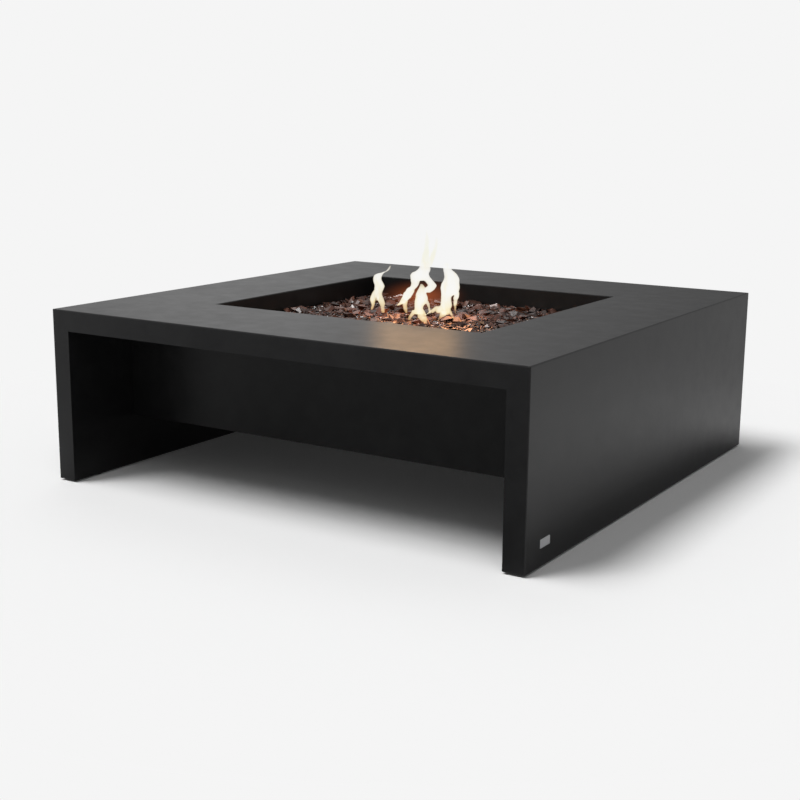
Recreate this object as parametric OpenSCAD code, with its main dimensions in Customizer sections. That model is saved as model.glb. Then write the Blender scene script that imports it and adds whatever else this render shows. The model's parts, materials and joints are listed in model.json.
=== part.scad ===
// Low square fire table: a cast concrete arch with a sunken tray of loose stones over a ring burner.
// The origin lies on the floor under the middle of the table, with the front edge towards -Y.

/* [Table] */
// Width of the table across its two legs
table_w = 1270; // [1150:10:1600]
// Depth of the table from front edge to back edge
table_d = 1270; // [1150:10:1600]
// Height of the table top above the floor
table_h = 420; // [400:5:520]
// Thickness of the top
slab_t = 50; // [40:1:70]
// Thickness of each leg
leg_t = 50; // [45:1:80]
// Rounding of the outer edges
edge_r = 3; // [1:0.5:8]
// Opening for the fire, side to side
opening_w = 740; // [640:5:800]
// Opening for the fire, front to back
opening_d = 700; // [640:5:760]
// Chamfer round the rim of the opening
rim_c = 2; // [1:0.5:4]

/* [Aprons] */
// Distance from the opening's edge to the inner face of each apron
apron_stand = 55; // [45:1:90]
// Thickness of each apron panel
apron_t = 20; // [16:1:26]
// Height of the aprons' bottom edge above the floor
apron_clear = 130; // [100:5:150]
// Gap between an apron's end and the leg
apron_gap = 0.5; // [0.3:0.1:1]
// Width of both legs of an angle cleat
cleat_w = 30; // [26:1:40]
// Length of an angle cleat along its corner
cleat_l = 40; // [24:1:60]
// Thickness of an angle cleat
cleat_t = 3; // [2:0.5:4]
// Distance of a cleat's screw holes from its corner
cleat_hole = 18; // [16:1:20]
// Distance of the upper cleats from the legs
cleat_inset = 70; // [50:5:120]
// Diameter of the cleat screws
screw_d = 4; // [3:0.5:6]
// Diameter of the screw heads
screw_head_d = 9; // [7:0.5:11]
// Height of the screw heads
screw_head_h = 3; // [2:0.5:4]
// Depth of the screws in the concrete
screw_bite = 12; // [8:1:14]

/* [Feet] */
// Diameter of a foot pad
pad_d = 36; // [24:1:40]
// Thickness of a foot pad
pad_t = 10; // [8:0.5:14]
// Depth of the recess that holds a foot pad
pad_sink = 6; // [3:0.5:7]
// Distance of the end pads from the front and back edges
pad_inset = 90; // [60:5:200]

/* [Support frame] */
// Thickness of the folded frame under the opening
frame_t = 4; // [3:0.5:5]
// Width of the flange that is bolted under the top
frame_flange = 30; // [26:1:36]
// Distance of the frame's web behind the edge of the opening
web_set = 2; // [1:0.5:5]
// Height of the ledge below the underside of the top
ledge_drop = 17; // [12:1:25]
// Width of the ledge that carries the tray
ledge_w = 22; // [18:1:28]
// Diameter of the frame bolts
bolt_d = 6; // [5:0.5:8]
// Width across flats of the bolt heads
bolt_af = 10; // [9:0.5:13]
// Height of the bolt heads
bolt_head_h = 4; // [3:0.5:6]
// Depth of the bolts in the top
bolt_bite = 25; // [15:1:30]
// Spacing of the two bolts on each side of the frame
bolt_pitch = 400; // [250:10:560]

/* [Fire tray] */
// Thickness of the tray sheet
tray_t = 2; // [1.5:0.5:3]
// Depth of the tray from its flange to its underside
tray_depth = 80; // [76:1:95]
// Gap between the tray's wall and the ledge
tray_gap = 2; // [1:0.5:4]
// Gap between the tray's flange and the side of the opening
flange_gap = 1.5; // [1:0.5:4]
// Corner radius of the tray
tray_r = 12; // [6:1:30]
// Thickness of the gasket under the flange
gasket_t = 3; // [2:0.5:5]
// Width of the gasket
gasket_w = 14; // [10:1:16]
// Diameter of the drain holes
drain_d = 10; // [6:1:16]
// Distance of the drain holes from the tray's walls
drain_inset = 60; // [30:5:80]

/* [Burner] */
// Diameter of the outer ring, to the middle of its tube
ring_d = 260; // [230:5:300]
// Diameter of the inner ring, to the middle of its tube
inner_ring_d = 130; // [110:5:150]
// Diameter of the ring tube
tube_d = 20; // [17:1:24]
// Wall of the burner's tubes
tube_wall = 1.5; // [1:0.1:2]
// Diameter of the spokes
spoke_d = 14; // [10:1:15]
// Number of spokes
spokes = 4; // [3:1:6]
// Diameter of the hub
hub_d = 46; // [40:1:56]
// Height of the hub
hub_h = 28; // [24:1:36]
// Height of the rings' middle above the tray's floor
burner_lift = 38; // [32:1:45]
// Diameter of the flame ports
port_d = 3; // [1.5:0.5:4]
// Number of ports in the outer ring
ports_outer = 32; // [16:4:40]
// Number of ports in the inner ring
ports_inner = 16; // [8:4:20]
// Diameter of the inlet nipple under the hub
nipple_d = 21; // [18:0.5:22]
// Bore of the inlet nipple
nipple_bore = 15; // [10:0.5:16]
// Width across flats of the nipple's locknut
locknut_af = 32; // [28:1:38]
// Height of the nipple's locknut
locknut_h = 8; // [6:0.5:12]
// Radial width of a stand bracket
stand_w = 40; // [32:1:50]
// Thickness of a stand bracket
stand_t = 3; // [2:0.5:4]
// Depth of a stand bracket's foot
stand_foot = 18; // [12:1:25]
// Number of stand brackets
stands = 4; // [3:1:5]

/* [Heat shield] */
// Width of the heat shield
shield_w = 560; // [480:10:600]
// Depth of the heat shield
shield_d = 520; // [480:10:560]
// Thickness of the heat shield
shield_t = 1.5; // [1:0.5:3]
// Gap between the tray and the heat shield
shield_drop = 30; // [24:1:40]
// Height of the shield's turned down rim
shield_rim = 12; // [8:1:20]
// Distance of the studs from the shield's edges
stud_inset = 40; // [25:5:60]
// Diameter of the studs' shoulders
stud_shoulder_d = 12; // [10:1:16]
// Diameter of the studs' threaded ends
stud_d = 6; // [4:0.5:8]
// Length of the studs' threaded ends
stud_end = 10; // [8:1:14]
// Width across flats of the stud nuts
stud_nut_af = 10; // [9:0.5:13]
// Height of the stud nuts
stud_nut_h = 5; // [3:0.5:6]

/* [Gas train] */
// Distance of the gas line below the heat shield
gas_drop = 34; // [32:1:45]
// Size of the elbow's block
elbow_s = 30; // [28:1:34]
// Distance from the elbow's middle to its socket faces
elbow_reach = 24; // [22:1:28]
// Outer diameter of the elbow's sockets
socket_d = 27; // [25:0.5:27.5]
// Depth of the elbow's sockets
socket_depth = 12; // [8:1:14]
// Outer diameter of the air mixer
mixer_d = 28; // [26:1:32]
// Length of the air mixer beyond the elbow
mixer_l = 100; // [80:5:120]
// Diameter of the air mixer's tail
mixer_tail_d = 21; // [19:0.5:22]
// Bore of the air mixer's throat
throat_d = 12; // [9:0.5:14]
// Wall of the air mixer
mixer_wall = 3; // [2:0.5:4]
// Length of the mixing chamber with the air windows
air_l = 34; // [28:1:40]
// Width of an air window
window_w = 9; // [5:0.5:11]
// Length of an air window
window_l = 22; // [14:1:26]
// Diameter of the jet's thread
jet_d = 12; // [10:0.5:14]
// Diameter of the jet's orifice
orifice_d = 1.6; // [1:0.1:3]
// Length of the jet's nose in the mixing chamber
jet_nose = 7; // [4:0.5:9]
// Width across flats of the jet, the inlet and the tube nuts
fitting_af = 19; // [18:0.5:22]
// Length of a fitting's hexagon
fitting_hex = 8; // [6:0.5:12]
// Diameter of a fitting's tube end
tail_d = 14; // [12.5:0.5:15]
// Length of a fitting's tube end
tail_l = 8; // [6:0.5:12]
// Bore of the fittings
fitting_bore = 7; // [5:0.5:8]
// Outer diameter of the gas tubes
gas_tube_d = 10; // [8:0.5:11]
// Wall of the gas tubes
gas_tube_wall = 1; // [0.8:0.1:1.5]
// Bend radius of the gas tubes
tube_bend = 20; // [14:1:26]
// Length of a tube nut over the tube
nut_over = 7; // [5:0.5:10]
// Straight tube left between a nut and a bend
tube_spare = 2; // [1:0.5:6]
// Distance of the gas inlet from the valve
inlet_pitch = 145; // [120:5:220]
// Diameter of the inlet's thread behind the table
inlet_d = 15.9; // [13:0.1:16.3]
// Diameter of the inlet's shank through the apron
inlet_shank_d = 18; // [16.5:0.5:21]
// Length of the inlet's free thread
inlet_out = 16; // [12:1:24]
// Width across flats of the inlet's flange and nut
inlet_af = 26; // [24:1:30]
// Height of the inlet's nut
inlet_nut_h = 6; // [4:0.5:8]

/* [Control valve] */
// Width and height of the valve's block
valve_w = 36; // [30:1:44]
// Length of the valve's block behind its ports
valve_back = 16; // [12:1:24]
// Diameter of the boss that passes through the apron
boss_d = 19; // [16:0.5:20]
// Length of the boss beyond the apron
boss_out = 9; // [8:0.5:10]
// Width across flats of the valve's panel nut
panel_nut_af = 28; // [25:0.5:30]
// Height of the valve's panel nut
panel_nut_h = 5; // [4:0.5:6]
// Diameter of the bezel behind the knob
bezel_d = 68; // [60:1:80]
// Thickness of the bezel
bezel_t = 2; // [1:0.5:3]
// Diameter of the stem
stem_d = 8; // [6:0.5:10]
// Length of the stem behind the apron
stem_in = 16; // [10:1:18]
// Distance of the stem's flat from its axis
stem_flat = 2.6; // [2:0.1:2.9]
// Diameter of the push rod
rod_d = 5; // [4:0.5:6]
// Travel of the knob when it is pushed in
push_travel = 5; // [3:0.5:6]
// Diameter of the magnet unit behind the valve
magnet_d = 20; // [16:1:26]
// Length of the magnet unit
magnet_l = 30; // [24:1:40]
// Depth of the magnet unit's cavity for the push rod
magnet_cavity = 14; // [12:1:18]
// Reach of the push rod into the magnet unit
rod_reach = 2; // [1:0.5:4]

/* [Control knob] */
// Diameter of the knob
knob_d = 48; // [44:1:56]
// Length of the knob
knob_h = 30; // [27:1:40]
// Gap between the knob and the bezel
knob_gap = 7; // [6.5:0.5:10]
// Wall of the knob's skirt
knob_wall = 4; // [2:0.5:5]
// Depth of the hollow in the knob's skirt
knob_hollow = 11; // [9:0.5:13]
// Depth of the knob's bore
knob_bore = 13; // [10:1:15]
// Number of grip flutes
flutes = 12; // [6:1:18]
// Diameter of a grip flute
flute_d = 6; // [3:0.5:7]
// Depth of a grip flute
flute_depth = 1.5; // [0.5:0.5:2]
// Length of the knob's fluted grip
grip_l = 20; // [14:1:24]
// Width of the pointer groove in the knob's face
pointer_w = 3; // [2:0.5:5]
// Depth of the pointer groove
pointer_depth = 1; // [0.5:0.5:2]

/* [Igniter] */
// Distance of the igniter from the middle of the table
igniter_x = 55; // [40:1:90]
// Diameter of the igniter's barrel
barrel_d = 22; // [18:1:26]
// Length of the igniter's barrel behind the apron's face
barrel_l = 70; // [60:1:90]
// Diameter of the igniter's front flange
collar_d = 30; // [28:1:36]
// Thickness of the igniter's front flange
collar_t = 3; // [2:0.5:5]
// Width across flats of the igniter's nut
igniter_nut_af = 30; // [28:1:36]
// Height of the igniter's nut
igniter_nut_h = 6; // [4:0.5:10]
// Diameter of the button
button_d = 14; // [10:1:15]
// Height of the button above the flange
button_out = 6; // [5:0.5:9]
// Length of the button inside the barrel
button_in = 12; // [8:1:18]
// Travel of the button
button_travel = 4; // [2:0.5:4.5]
// Dish of the button's face
button_dish = 1; // [0.5:0.1:1.5]
// Diameter of the ignition lead
lead_d = 5; // [4:0.5:6]

/* [Sensors] */
// Distance of the sensors to the right of the burner's middle
sensor_x = 60; // [40:5:90]
// Distance of the sensors behind the burner's middle
sensor_y = 185; // [180:5:220]
// Spacing of the electrode and the thermocouple
sensor_pitch = 16; // [13:1:20]
// Diameter of the hood over the sensors
hood_d = 44; // [40:1:50]
// Wall of the hood
hood_wall = 1; // [0.8:0.1:2]
// Number of windows round the hood
hood_windows = 6; // [4:1:8]
// Width of a hood window
hood_window_w = 6; // [3:0.5:10]
// Height of a hood window
hood_window_h = 34; // [20:1:44]
// Thickness of the sensor bracket
bracket_t = 2; // [1.5:0.5:4]
// Diameter of the electrode's ceramic body
electrode_d = 7; // [5:0.5:8]
// Diameter of the electrode's wire
electrode_wire_d = 2; // [1:0.2:3]
// Diameter of the thermocouple
thermo_d = 6; // [4:0.5:7]
// Height of the sensors above the tray's floor
sensor_h = 56; // [40:1:64]
// Reach of the sensors below the tray
sensor_tail = 12; // [8:1:18]
// Height of the collars on the sensors
sensor_collar_h = 4; // [2:0.5:8]
// Width of the collars round the sensors
sensor_collar_w = 2; // [1:0.5:2.5]
// Diameter of the thermocouple's lead
thermo_lead_d = 3; // [2:0.5:4]

/* [Stones] */
// Spacing of the loose stones
stone_pitch = 42; // [36:1:52]
// Height of the lowest stones
stone_h_min = 14; // [8:1:18]
// Height of the tallest stones
stone_h_max = 25; // [20:1:34]
// Clearance of the stones from the sides of the opening
stone_edge = 2; // [1:0.5:8]
// Share of its cell that the tightest stone fills
stone_tight = 0.84; // [0.7:0.01:0.9]
// Irregularity of the stones' outlines
stone_jitter = 6; // [0:0.5:7]
// Seed of the stones' shapes
stone_seed = 11; // [1:1:99]

/* [Clearances] */
// Radial clearance of screws, bolts and studs in their holes
screw_fit = 0.1; // [0.05:0.05:0.3]
// Clearance of fittings, tubes and nuts on each other
pipe_fit = 0.1; // [0.05:0.05:0.3]
// Clearance of what passes through an apron, the tray or the shield
pass_fit = 0.5; // [0.3:0.1:1.5]
// Radial running clearance of stem, rod and button
run_fit = 0.05; // [0.02:0.01:0.1]
// Gap between the ends of the stem and the push rod
rod_gap = 0.1; // [0.05:0.05:0.3]
// Radial clearance of a foot pad in its recess
pad_fit = 0.3; // [0.1:0.1:0.6]
// Gap between the rings and the stand's saddles
saddle_gap = 0.3; // [0.2:0.1:0.6]
// Gap between the stones and what they surround
bed_gap = 0.5; // [0.3:0.1:1]

/* [Hidden] */
$fn = 64;
over = 1;
hex_corner = 1 / cos(30);

// Finishes
concrete_grey = "#4b4b4d";
steel_grey = "#a9abad";
dark_steel = "#3a3b3d";
zinc_grey = "#8d9092";
brass_gold = "#b8964a";
copper_red = "#a86442";
rubber_black = "#1c1c1c";
knob_black = "#242424";
ceramic_white = "#e6e1d6";
lead_red = "#7a2a22";
gasket_white = "#cfcabd";
stone_black = "#2b2624";

// Heights of the casting
slab_z = table_h - slab_t;
foot_gap = pad_t - pad_sink;
inner_w = table_w - 2 * leg_t;

// Aprons
apron_in = opening_d / 2 + apron_stand;
apron_out = apron_in + apron_t;
apron_w = inner_w - 2 * apron_gap;
apron_h = slab_z - apron_clear;
apron_mid = apron_clear + apron_h / 2;

// Support frame and tray, as half sizes from the middle of the opening
web_x = opening_w / 2 + web_set;
web_y = opening_d / 2 + web_set;
ledge_z = slab_z - ledge_drop;
ledge_x = web_x - ledge_w;
ledge_y = web_y - ledge_w;
bolt_off = (frame_t + frame_flange) / 2;
gasket_set = (ledge_w - web_set - gasket_w) / 2;
bed_z = ledge_z + gasket_t + tray_t;
tray_bottom = bed_z - tray_depth;
floor_z = tray_bottom + tray_t;
tray_x = ledge_x - tray_gap;
tray_y = ledge_y - tray_gap;

// Burner
burner_z = floor_z + burner_lift;
tube_r = tube_d / 2;
ring_r = ring_d / 2;
inner_ring_r = inner_ring_d / 2;
stand_turn = 180 / spokes;

// Heat shield
shield_z = tray_bottom - shield_drop;
stud_x = shield_w / 2 - stud_inset;
stud_y = shield_d / 2 - stud_inset;

// Gas line: it runs at one height from the rear apron to the middle of the table
gas_z = shield_z - shield_t - gas_drop;
nipple_end = gas_z + elbow_reach - socket_depth;
jet_y = elbow_reach + mixer_l;
jet_end = jet_y + fitting_hex + tail_l;
valve_x = -(valve_w / 2 + tail_l + nut_over + tube_spare + tube_bend);
inlet_x = valve_x - inlet_pitch;
port_back = fitting_hex + tail_l + nut_over + tube_spare + tube_bend;
port_y = apron_in - port_back;
valve_l = port_back + valve_back;
supply_a = nut_over + tube_spare;
supply_b = port_y - tube_bend - jet_end;
inlet_a = inlet_pitch - valve_w / 2 - tail_l - tube_bend;
inlet_b = nut_over + tube_spare;

// Knob and stem, measured outwards from the rear apron's outer face
knob_z = bezel_t + knob_gap;
knob_bore_z = knob_z + knob_hollow;
stem_out = knob_bore_z + knob_bore - pass_fit;
stem_bottom = -apron_t - stem_in;
rod_bottom = -apron_t - valve_l - rod_reach;

// Igniter, measured in the same way
button_bottom = collar_t - button_in;
button_floor = button_bottom - button_travel - over;

// Sensors
electrode_x = sensor_x + sensor_pitch / 2;
thermo_x = sensor_x - sensor_pitch / 2;

// Stones: a six-sided mesh with moved corners fills the opening from wall to wall
stone_w = opening_w - 2 * stone_edge;
stone_d = opening_d - 2 * stone_edge;
stone_nx = round(stone_w / stone_pitch);
stone_ny = round(stone_d / (stone_pitch * sin(60)));
stone_dx = stone_w / stone_nx;
stone_dy = stone_d / stone_ny;
stone_sides = 6;
stone_draws = 8 + 2 * stone_sides;
stone_keys = 2 * stone_nx + 3;
stone_rnd = rands(0, 1, stone_keys * (stone_ny + 2) * stone_draws, stone_seed);

// Placing and shaping helpers

module rounded_rect(w, d, r) {
    square([w - 2 * r, d], center = true);
    square([w, d - 2 * r], center = true);
    for (sx = [-1, 1], sy = [-1, 1])
        translate([sx * (w / 2 - r), sy * (d / 2 - r)]) circle(r);
}

module hex(af, h) {
    cylinder(d = af * hex_corner, h = h, $fn = 6);
}

module tube(d, bore, h) {
    difference() {
        cylinder(d = d, h = h);
        translate([0, 0, -over]) cylinder(d = bore, h = h + 2 * over);
    }
}

// Rectangular ring between two half sizes
module frame_ring(x, y, w, h) {
    linear_extrude(h) difference() {
        square([2 * x, 2 * y], center = true);
        square([2 * (x - w), 2 * (y - w)], center = true);
    }
}

// Local +Z points out of the rear apron, from its outer face
module on_panel(x) {
    translate([x, apron_out, gas_z]) rotate([-90, 0, 0]) children();
}

// Local +Z runs along the gas line from under the burner towards the rear
module on_gas_line(y) {
    translate([0, y, gas_z]) rotate([-90, 0, 0]) children();
}

// Local +Z points into the top or leg, local +Y into the apron
module at_cleats() {
    for (mx = [0, 1], my = [0, 1]) mirror([mx, 0, 0]) mirror([0, my, 0]) {
        translate([inner_w / 2 - cleat_inset, apron_in, slab_z]) children();
        translate([inner_w / 2, apron_in, apron_mid]) rotate([0, 90, 0]) children();
    }
}

module at_pads() {
    for (sx = [-1, 1], sy = [-1, 0, 1])
        translate([sx * (table_w - leg_t) / 2, sy * (table_d / 2 - pad_inset), 0]) children();
}

module at_frame_bolts() {
    for (sx = [-1, 1], sy = [-1, 1]) {
        translate([sx * (web_x + bolt_off), sy * bolt_pitch / 2, slab_z]) children();
        translate([sx * bolt_pitch / 2, sy * (web_y + bolt_off), slab_z]) children();
    }
}

module at_studs() {
    for (sx = [-1, 1], sy = [-1, 1]) translate([sx * stud_x, sy * stud_y, 0]) children();
}

// Swept round lead: the route's corners are cut twice, then rings are joined along it
function cut_corners(p) = concat(
    [p[0]],
    [for (i = [0 : len(p) - 2], t = [0.25, 0.75]) p[i] * (1 - t) + p[i + 1] * t],
    [p[len(p) - 1]]
);
function unit(v) = v / norm(v);
function heading(p, i) = unit(p[min(i + 1, len(p) - 1)] - p[max(i - 1, 0)]);
function lead_ring(p, i, r, sides) =
    let (
        t = i == 0 ? unit(p[1] - p[0]) : heading(p, i),
        n = unit(cross(t, [1, 0, 0])),
        b = cross(n, t)
    )
    [for (k = [0 : sides - 1]) p[i] + r * (n * cos(360 * k / sides) + b * sin(360 * k / sides))];

module lead(route, d) {
    sides = 8;
    path = cut_corners(cut_corners(route));
    rings = len(path);
    points = [for (i = [0 : rings - 1]) each lead_ring(path, i, d / 2, sides)];
    skin = [for (i = [0 : rings - 2], k = [0 : sides - 1])
        let (a = i * sides + k, b = i * sides + (k + 1) % sides)
        each [[a, b, b + sides], [a, b + sides, a + sides]]];
    caps = [
        [for (k = [sides - 1 : -1 : 0]) k],
        [for (k = [0 : sides - 1]) (rings - 1) * sides + k]
    ];
    polyhedron(points, concat(skin, caps));
}

// Concrete

module arch_outline() {
    difference() {
        translate([0, (table_h + foot_gap) / 2]) rounded_rect(table_w, table_h - foot_gap, edge_r);
        translate([-inner_w / 2, foot_gap - over]) square([inner_w, slab_z - foot_gap + over]);
    }
}

module rounded_arch() {
    intersection() {
        translate([0, table_d / 2, 0]) rotate([90, 0, 0]) linear_extrude(table_d) arch_outline();
        linear_extrude(table_h) rounded_rect(table_w, table_d, edge_r);
        translate([-table_w / 2, 0, (table_h + foot_gap) / 2]) rotate([90, 0, 90])
            linear_extrude(table_w) rounded_rect(table_d, table_h - foot_gap, edge_r);
    }
}

// Side view of the opening: straight walls with a flared rim
module flared_outline(w) {
    rim_w = w / 2 + rim_c + over;
    rim_z = table_h - rim_c;
    polygon([
        [-w / 2, slab_z - over], [w / 2, slab_z - over], [w / 2, rim_z],
        [rim_w, table_h + over], [-rim_w, table_h + over], [-w / 2, rim_z]
    ]);
}

module fire_opening() {
    intersection() {
        translate([0, table_d / 2, 0]) rotate([90, 0, 0]) linear_extrude(table_d) flared_outline(opening_w);
        translate([-table_w / 2, 0, 0]) rotate([90, 0, 90]) linear_extrude(table_w) flared_outline(opening_d);
    }
}

module cleat_pilots() {
    translate([0, -cleat_hole, -over]) cylinder(r = screw_d / 2 + screw_fit, h = screw_bite + 2 * over);
    translate([0, -over, -cleat_hole]) rotate([-90, 0, 0])
        cylinder(r = screw_d / 2 + screw_fit, h = screw_bite + 2 * over);
}

module concrete_body() {
    color(concrete_grey) difference() {
        rounded_arch();
        fire_opening();
        at_pads() cylinder(r = pad_d / 2 + pad_fit, h = pad_t);
        at_cleats() cleat_pilots();
        at_frame_bolts() translate([0, 0, -over])
            cylinder(r = bolt_d / 2 + screw_fit, h = bolt_bite + 2 * over);
    }
}

module apron_panel() {
    difference() {
        translate([-apron_w / 2, apron_in, apron_clear]) cube([apron_w, apron_t, apron_h]);
        at_cleats() cleat_pilots();
    }
}

module front_apron() {
    color(concrete_grey) mirror([0, 1, 0]) apron_panel();
}

module rear_apron() {
    color(concrete_grey) difference() {
        apron_panel();
        on_panel(valve_x) panel_hole(boss_d);
        on_panel(igniter_x) panel_hole(barrel_d);
        on_panel(inlet_x) panel_hole(inlet_shank_d);
    }
}

module panel_hole(d) {
    translate([0, 0, -apron_t - over]) cylinder(r = d / 2 + pass_fit, h = apron_t + 2 * over);
}

module apron_cleats() {
    color(zinc_grey) at_cleats() difference() {
        union() {
            translate([-cleat_l / 2, -cleat_w, -cleat_t]) cube([cleat_l, cleat_w, cleat_t]);
            translate([-cleat_l / 2, -cleat_t, -cleat_w]) cube([cleat_l, cleat_t, cleat_w]);
        }
        translate([0, -cleat_hole, -cleat_t - over])
            cylinder(r = screw_d / 2 + screw_fit, h = cleat_t + 2 * over);
        translate([0, -cleat_t - over, -cleat_hole]) rotate([-90, 0, 0])
            cylinder(r = screw_d / 2 + screw_fit, h = cleat_t + 2 * over);
    }
}

// Screw along +Z whose head lies under the face at z = 0
module pan_screw(shank) {
    translate([0, 0, -screw_head_h]) cylinder(d = screw_head_d, h = screw_head_h);
    translate([0, 0, -screw_head_h / 2]) cylinder(d = screw_d, h = shank + screw_head_h / 2);
}

module cleat_screws() {
    color(zinc_grey) at_cleats() {
        translate([0, -cleat_hole, -cleat_t]) pan_screw(cleat_t + screw_bite);
        translate([0, -cleat_t, -cleat_hole]) rotate([-90, 0, 0]) pan_screw(cleat_t + screw_bite);
    }
}

module foot_pads() {
    color(rubber_black) at_pads() cylinder(d = pad_d, h = pad_t);
}

// Fire tray and its support

module support_frame() {
    color(dark_steel) difference() {
        union() {
            translate([0, 0, slab_z - frame_t])
                frame_ring(web_x + frame_flange, web_y + frame_flange, frame_flange, frame_t);
            translate([0, 0, ledge_z - frame_t])
                frame_ring(web_x + frame_t, web_y + frame_t, frame_t, ledge_drop + frame_t);
            translate([0, 0, ledge_z - frame_t])
                frame_ring(web_x + frame_t, web_y + frame_t, frame_t + ledge_w, frame_t);
        }
        at_frame_bolts() translate([0, 0, -frame_t - over])
            cylinder(r = bolt_d / 2 + screw_fit, h = frame_t + 2 * over);
    }
}

module frame_bolts() {
    color(zinc_grey) at_frame_bolts() {
        translate([0, 0, -frame_t - bolt_head_h]) hex(bolt_af, bolt_head_h);
        translate([0, 0, -frame_t - bolt_head_h / 2])
            cylinder(d = bolt_d, h = bolt_head_h / 2 + frame_t + bolt_bite);
    }
}

module tray_gasket() {
    color(gasket_white) translate([0, 0, ledge_z])
        frame_ring(ledge_x + gasket_set + gasket_w, ledge_y + gasket_set + gasket_w, gasket_w, gasket_t);
}

module tray_outline(inset) {
    rounded_rect(2 * (tray_x - inset), 2 * (tray_y - inset), tray_r - inset);
}

module burner_tray() {
    color(steel_grey) difference() {
        union() {
            translate([0, 0, tray_bottom]) linear_extrude(tray_depth) tray_outline(0);
            translate([0, 0, bed_z - tray_t]) linear_extrude(tray_t)
                square([opening_w - 2 * flange_gap, opening_d - 2 * flange_gap], center = true);
        }
        translate([0, 0, floor_z]) linear_extrude(tray_depth) tray_outline(tray_t);
        translate([0, 0, tray_bottom - over]) {
            cylinder(r = nipple_d / 2 + pass_fit, h = tray_t + 2 * over);
            at_sensors(electrode_d + 2 * pass_fit, thermo_d + 2 * pass_fit, tray_t + 2 * over);
            for (sx = [-1, 1], sy = [-1, 1])
                translate([sx * (tray_x - drain_inset), sy * (tray_y - drain_inset), 0])
                    cylinder(d = drain_d, h = tray_t + 2 * over);
        }
    }
}

// Burner: rings, spokes and hub share one hollow inside

module burner_body(inset) {
    translate([0, 0, burner_z]) {
        for (r = [ring_r, inner_ring_r])
            rotate_extrude() translate([r, 0]) circle(r = tube_r - inset);
        for (i = [0 : spokes - 1]) rotate([0, 0, 360 * i / spokes]) rotate([0, 90, 0])
            cylinder(r = spoke_d / 2 - inset, h = ring_r);
        translate([0, 0, inset - hub_h / 2]) cylinder(r = hub_d / 2 - inset, h = hub_h - 2 * inset);
    }
}

module ports(r, n) {
    for (i = [0 : n - 1]) rotate([0, 0, 360 * (i + 0.5) / n])
        translate([r, 0, burner_z]) cylinder(d = port_d, h = tube_d);
}

module burner_ring() {
    color(steel_grey) difference() {
        union() {
            burner_body(0);
            translate([0, 0, nipple_end]) cylinder(d = nipple_d, h = burner_z - nipple_end);
        }
        burner_body(tube_wall);
        translate([0, 0, nipple_end - over]) cylinder(d = nipple_bore, h = burner_z - nipple_end + over);
        ports(ring_r, ports_outer);
        ports(inner_ring_r, ports_inner);
    }
}

module at_stands() {
    for (i = [0 : stands - 1]) rotate([0, 0, 360 * i / stands + stand_turn])
        translate([ring_r, 0, floor_z]) children();
}

module stand_block(gap) {
    translate([-stand_w / 2 - gap, -stand_t / 2 - gap, 0]) {
        cube([stand_w + 2 * gap, stand_t + 2 * gap, burner_lift]);
        cube([stand_w + 2 * gap, stand_foot + 2 * gap, stand_t + gap]);
    }
}

module burner_stand() {
    color(steel_grey) at_stands() difference() {
        stand_block(0);
        translate([0, stand_w, burner_lift]) rotate([90, 0, 0])
            cylinder(r = tube_r + saddle_gap, h = 2 * stand_w);
    }
}

module burner_locknut() {
    color(brass_gold) translate([0, 0, tray_bottom - locknut_h]) difference() {
        hex(locknut_af, locknut_h);
        translate([0, 0, -over]) cylinder(r = nipple_d / 2 + pipe_fit, h = locknut_h + 2 * over);
    }
}

// Heat shield

module heat_shield() {
    color(steel_grey) difference() {
        translate([-shield_w / 2, -shield_d / 2, shield_z - shield_rim])
            cube([shield_w, shield_d, shield_rim]);
        translate([shield_t - shield_w / 2, shield_t - shield_d / 2, shield_z - shield_rim - over])
            cube([shield_w - 2 * shield_t, shield_d - 2 * shield_t, shield_rim - shield_t + over]);
        translate([0, 0, shield_z - shield_t - over]) {
            cylinder(r = nipple_d / 2 + shield_t + pass_fit, h = shield_t + 2 * over);
            translate([sensor_x, sensor_y, 0]) cylinder(d = hood_d - 2 * hood_wall, h = shield_t + 2 * over);
            at_studs() cylinder(r = stud_d / 2 + screw_fit, h = shield_t + 2 * over);
        }
    }
}

module shield_studs() {
    color(zinc_grey) at_studs() {
        translate([0, 0, shield_z]) cylinder(d = stud_shoulder_d, h = shield_drop);
        translate([0, 0, shield_z - stud_end]) cylinder(d = stud_d, h = stud_end + shield_drop / 2);
    }
}

module shield_nuts() {
    color(zinc_grey) at_studs() translate([0, 0, shield_z - shield_t - stud_nut_h]) difference() {
        hex(stud_nut_af, stud_nut_h);
        translate([0, 0, -over]) cylinder(r = stud_d / 2 + screw_fit, h = stud_nut_h + 2 * over);
    }
}

// Gas train

module gas_elbow() {
    color(brass_gold) translate([0, 0, gas_z]) difference() {
        union() {
            cube(elbow_s, center = true);
            cylinder(d = socket_d, h = elbow_reach);
            rotate([-90, 0, 0]) cylinder(d = socket_d, h = elbow_reach);
        }
        cylinder(d = throat_d, h = elbow_reach + over);
        rotate([-90, 0, 0]) cylinder(d = throat_d, h = elbow_reach + over);
        translate([0, 0, elbow_reach - socket_depth])
            cylinder(r = nipple_d / 2 + pipe_fit, h = socket_depth + over);
        rotate([-90, 0, 0]) translate([0, 0, elbow_reach - socket_depth])
            cylinder(r = mixer_tail_d / 2 + pipe_fit, h = socket_depth + over);
    }
}

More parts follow.
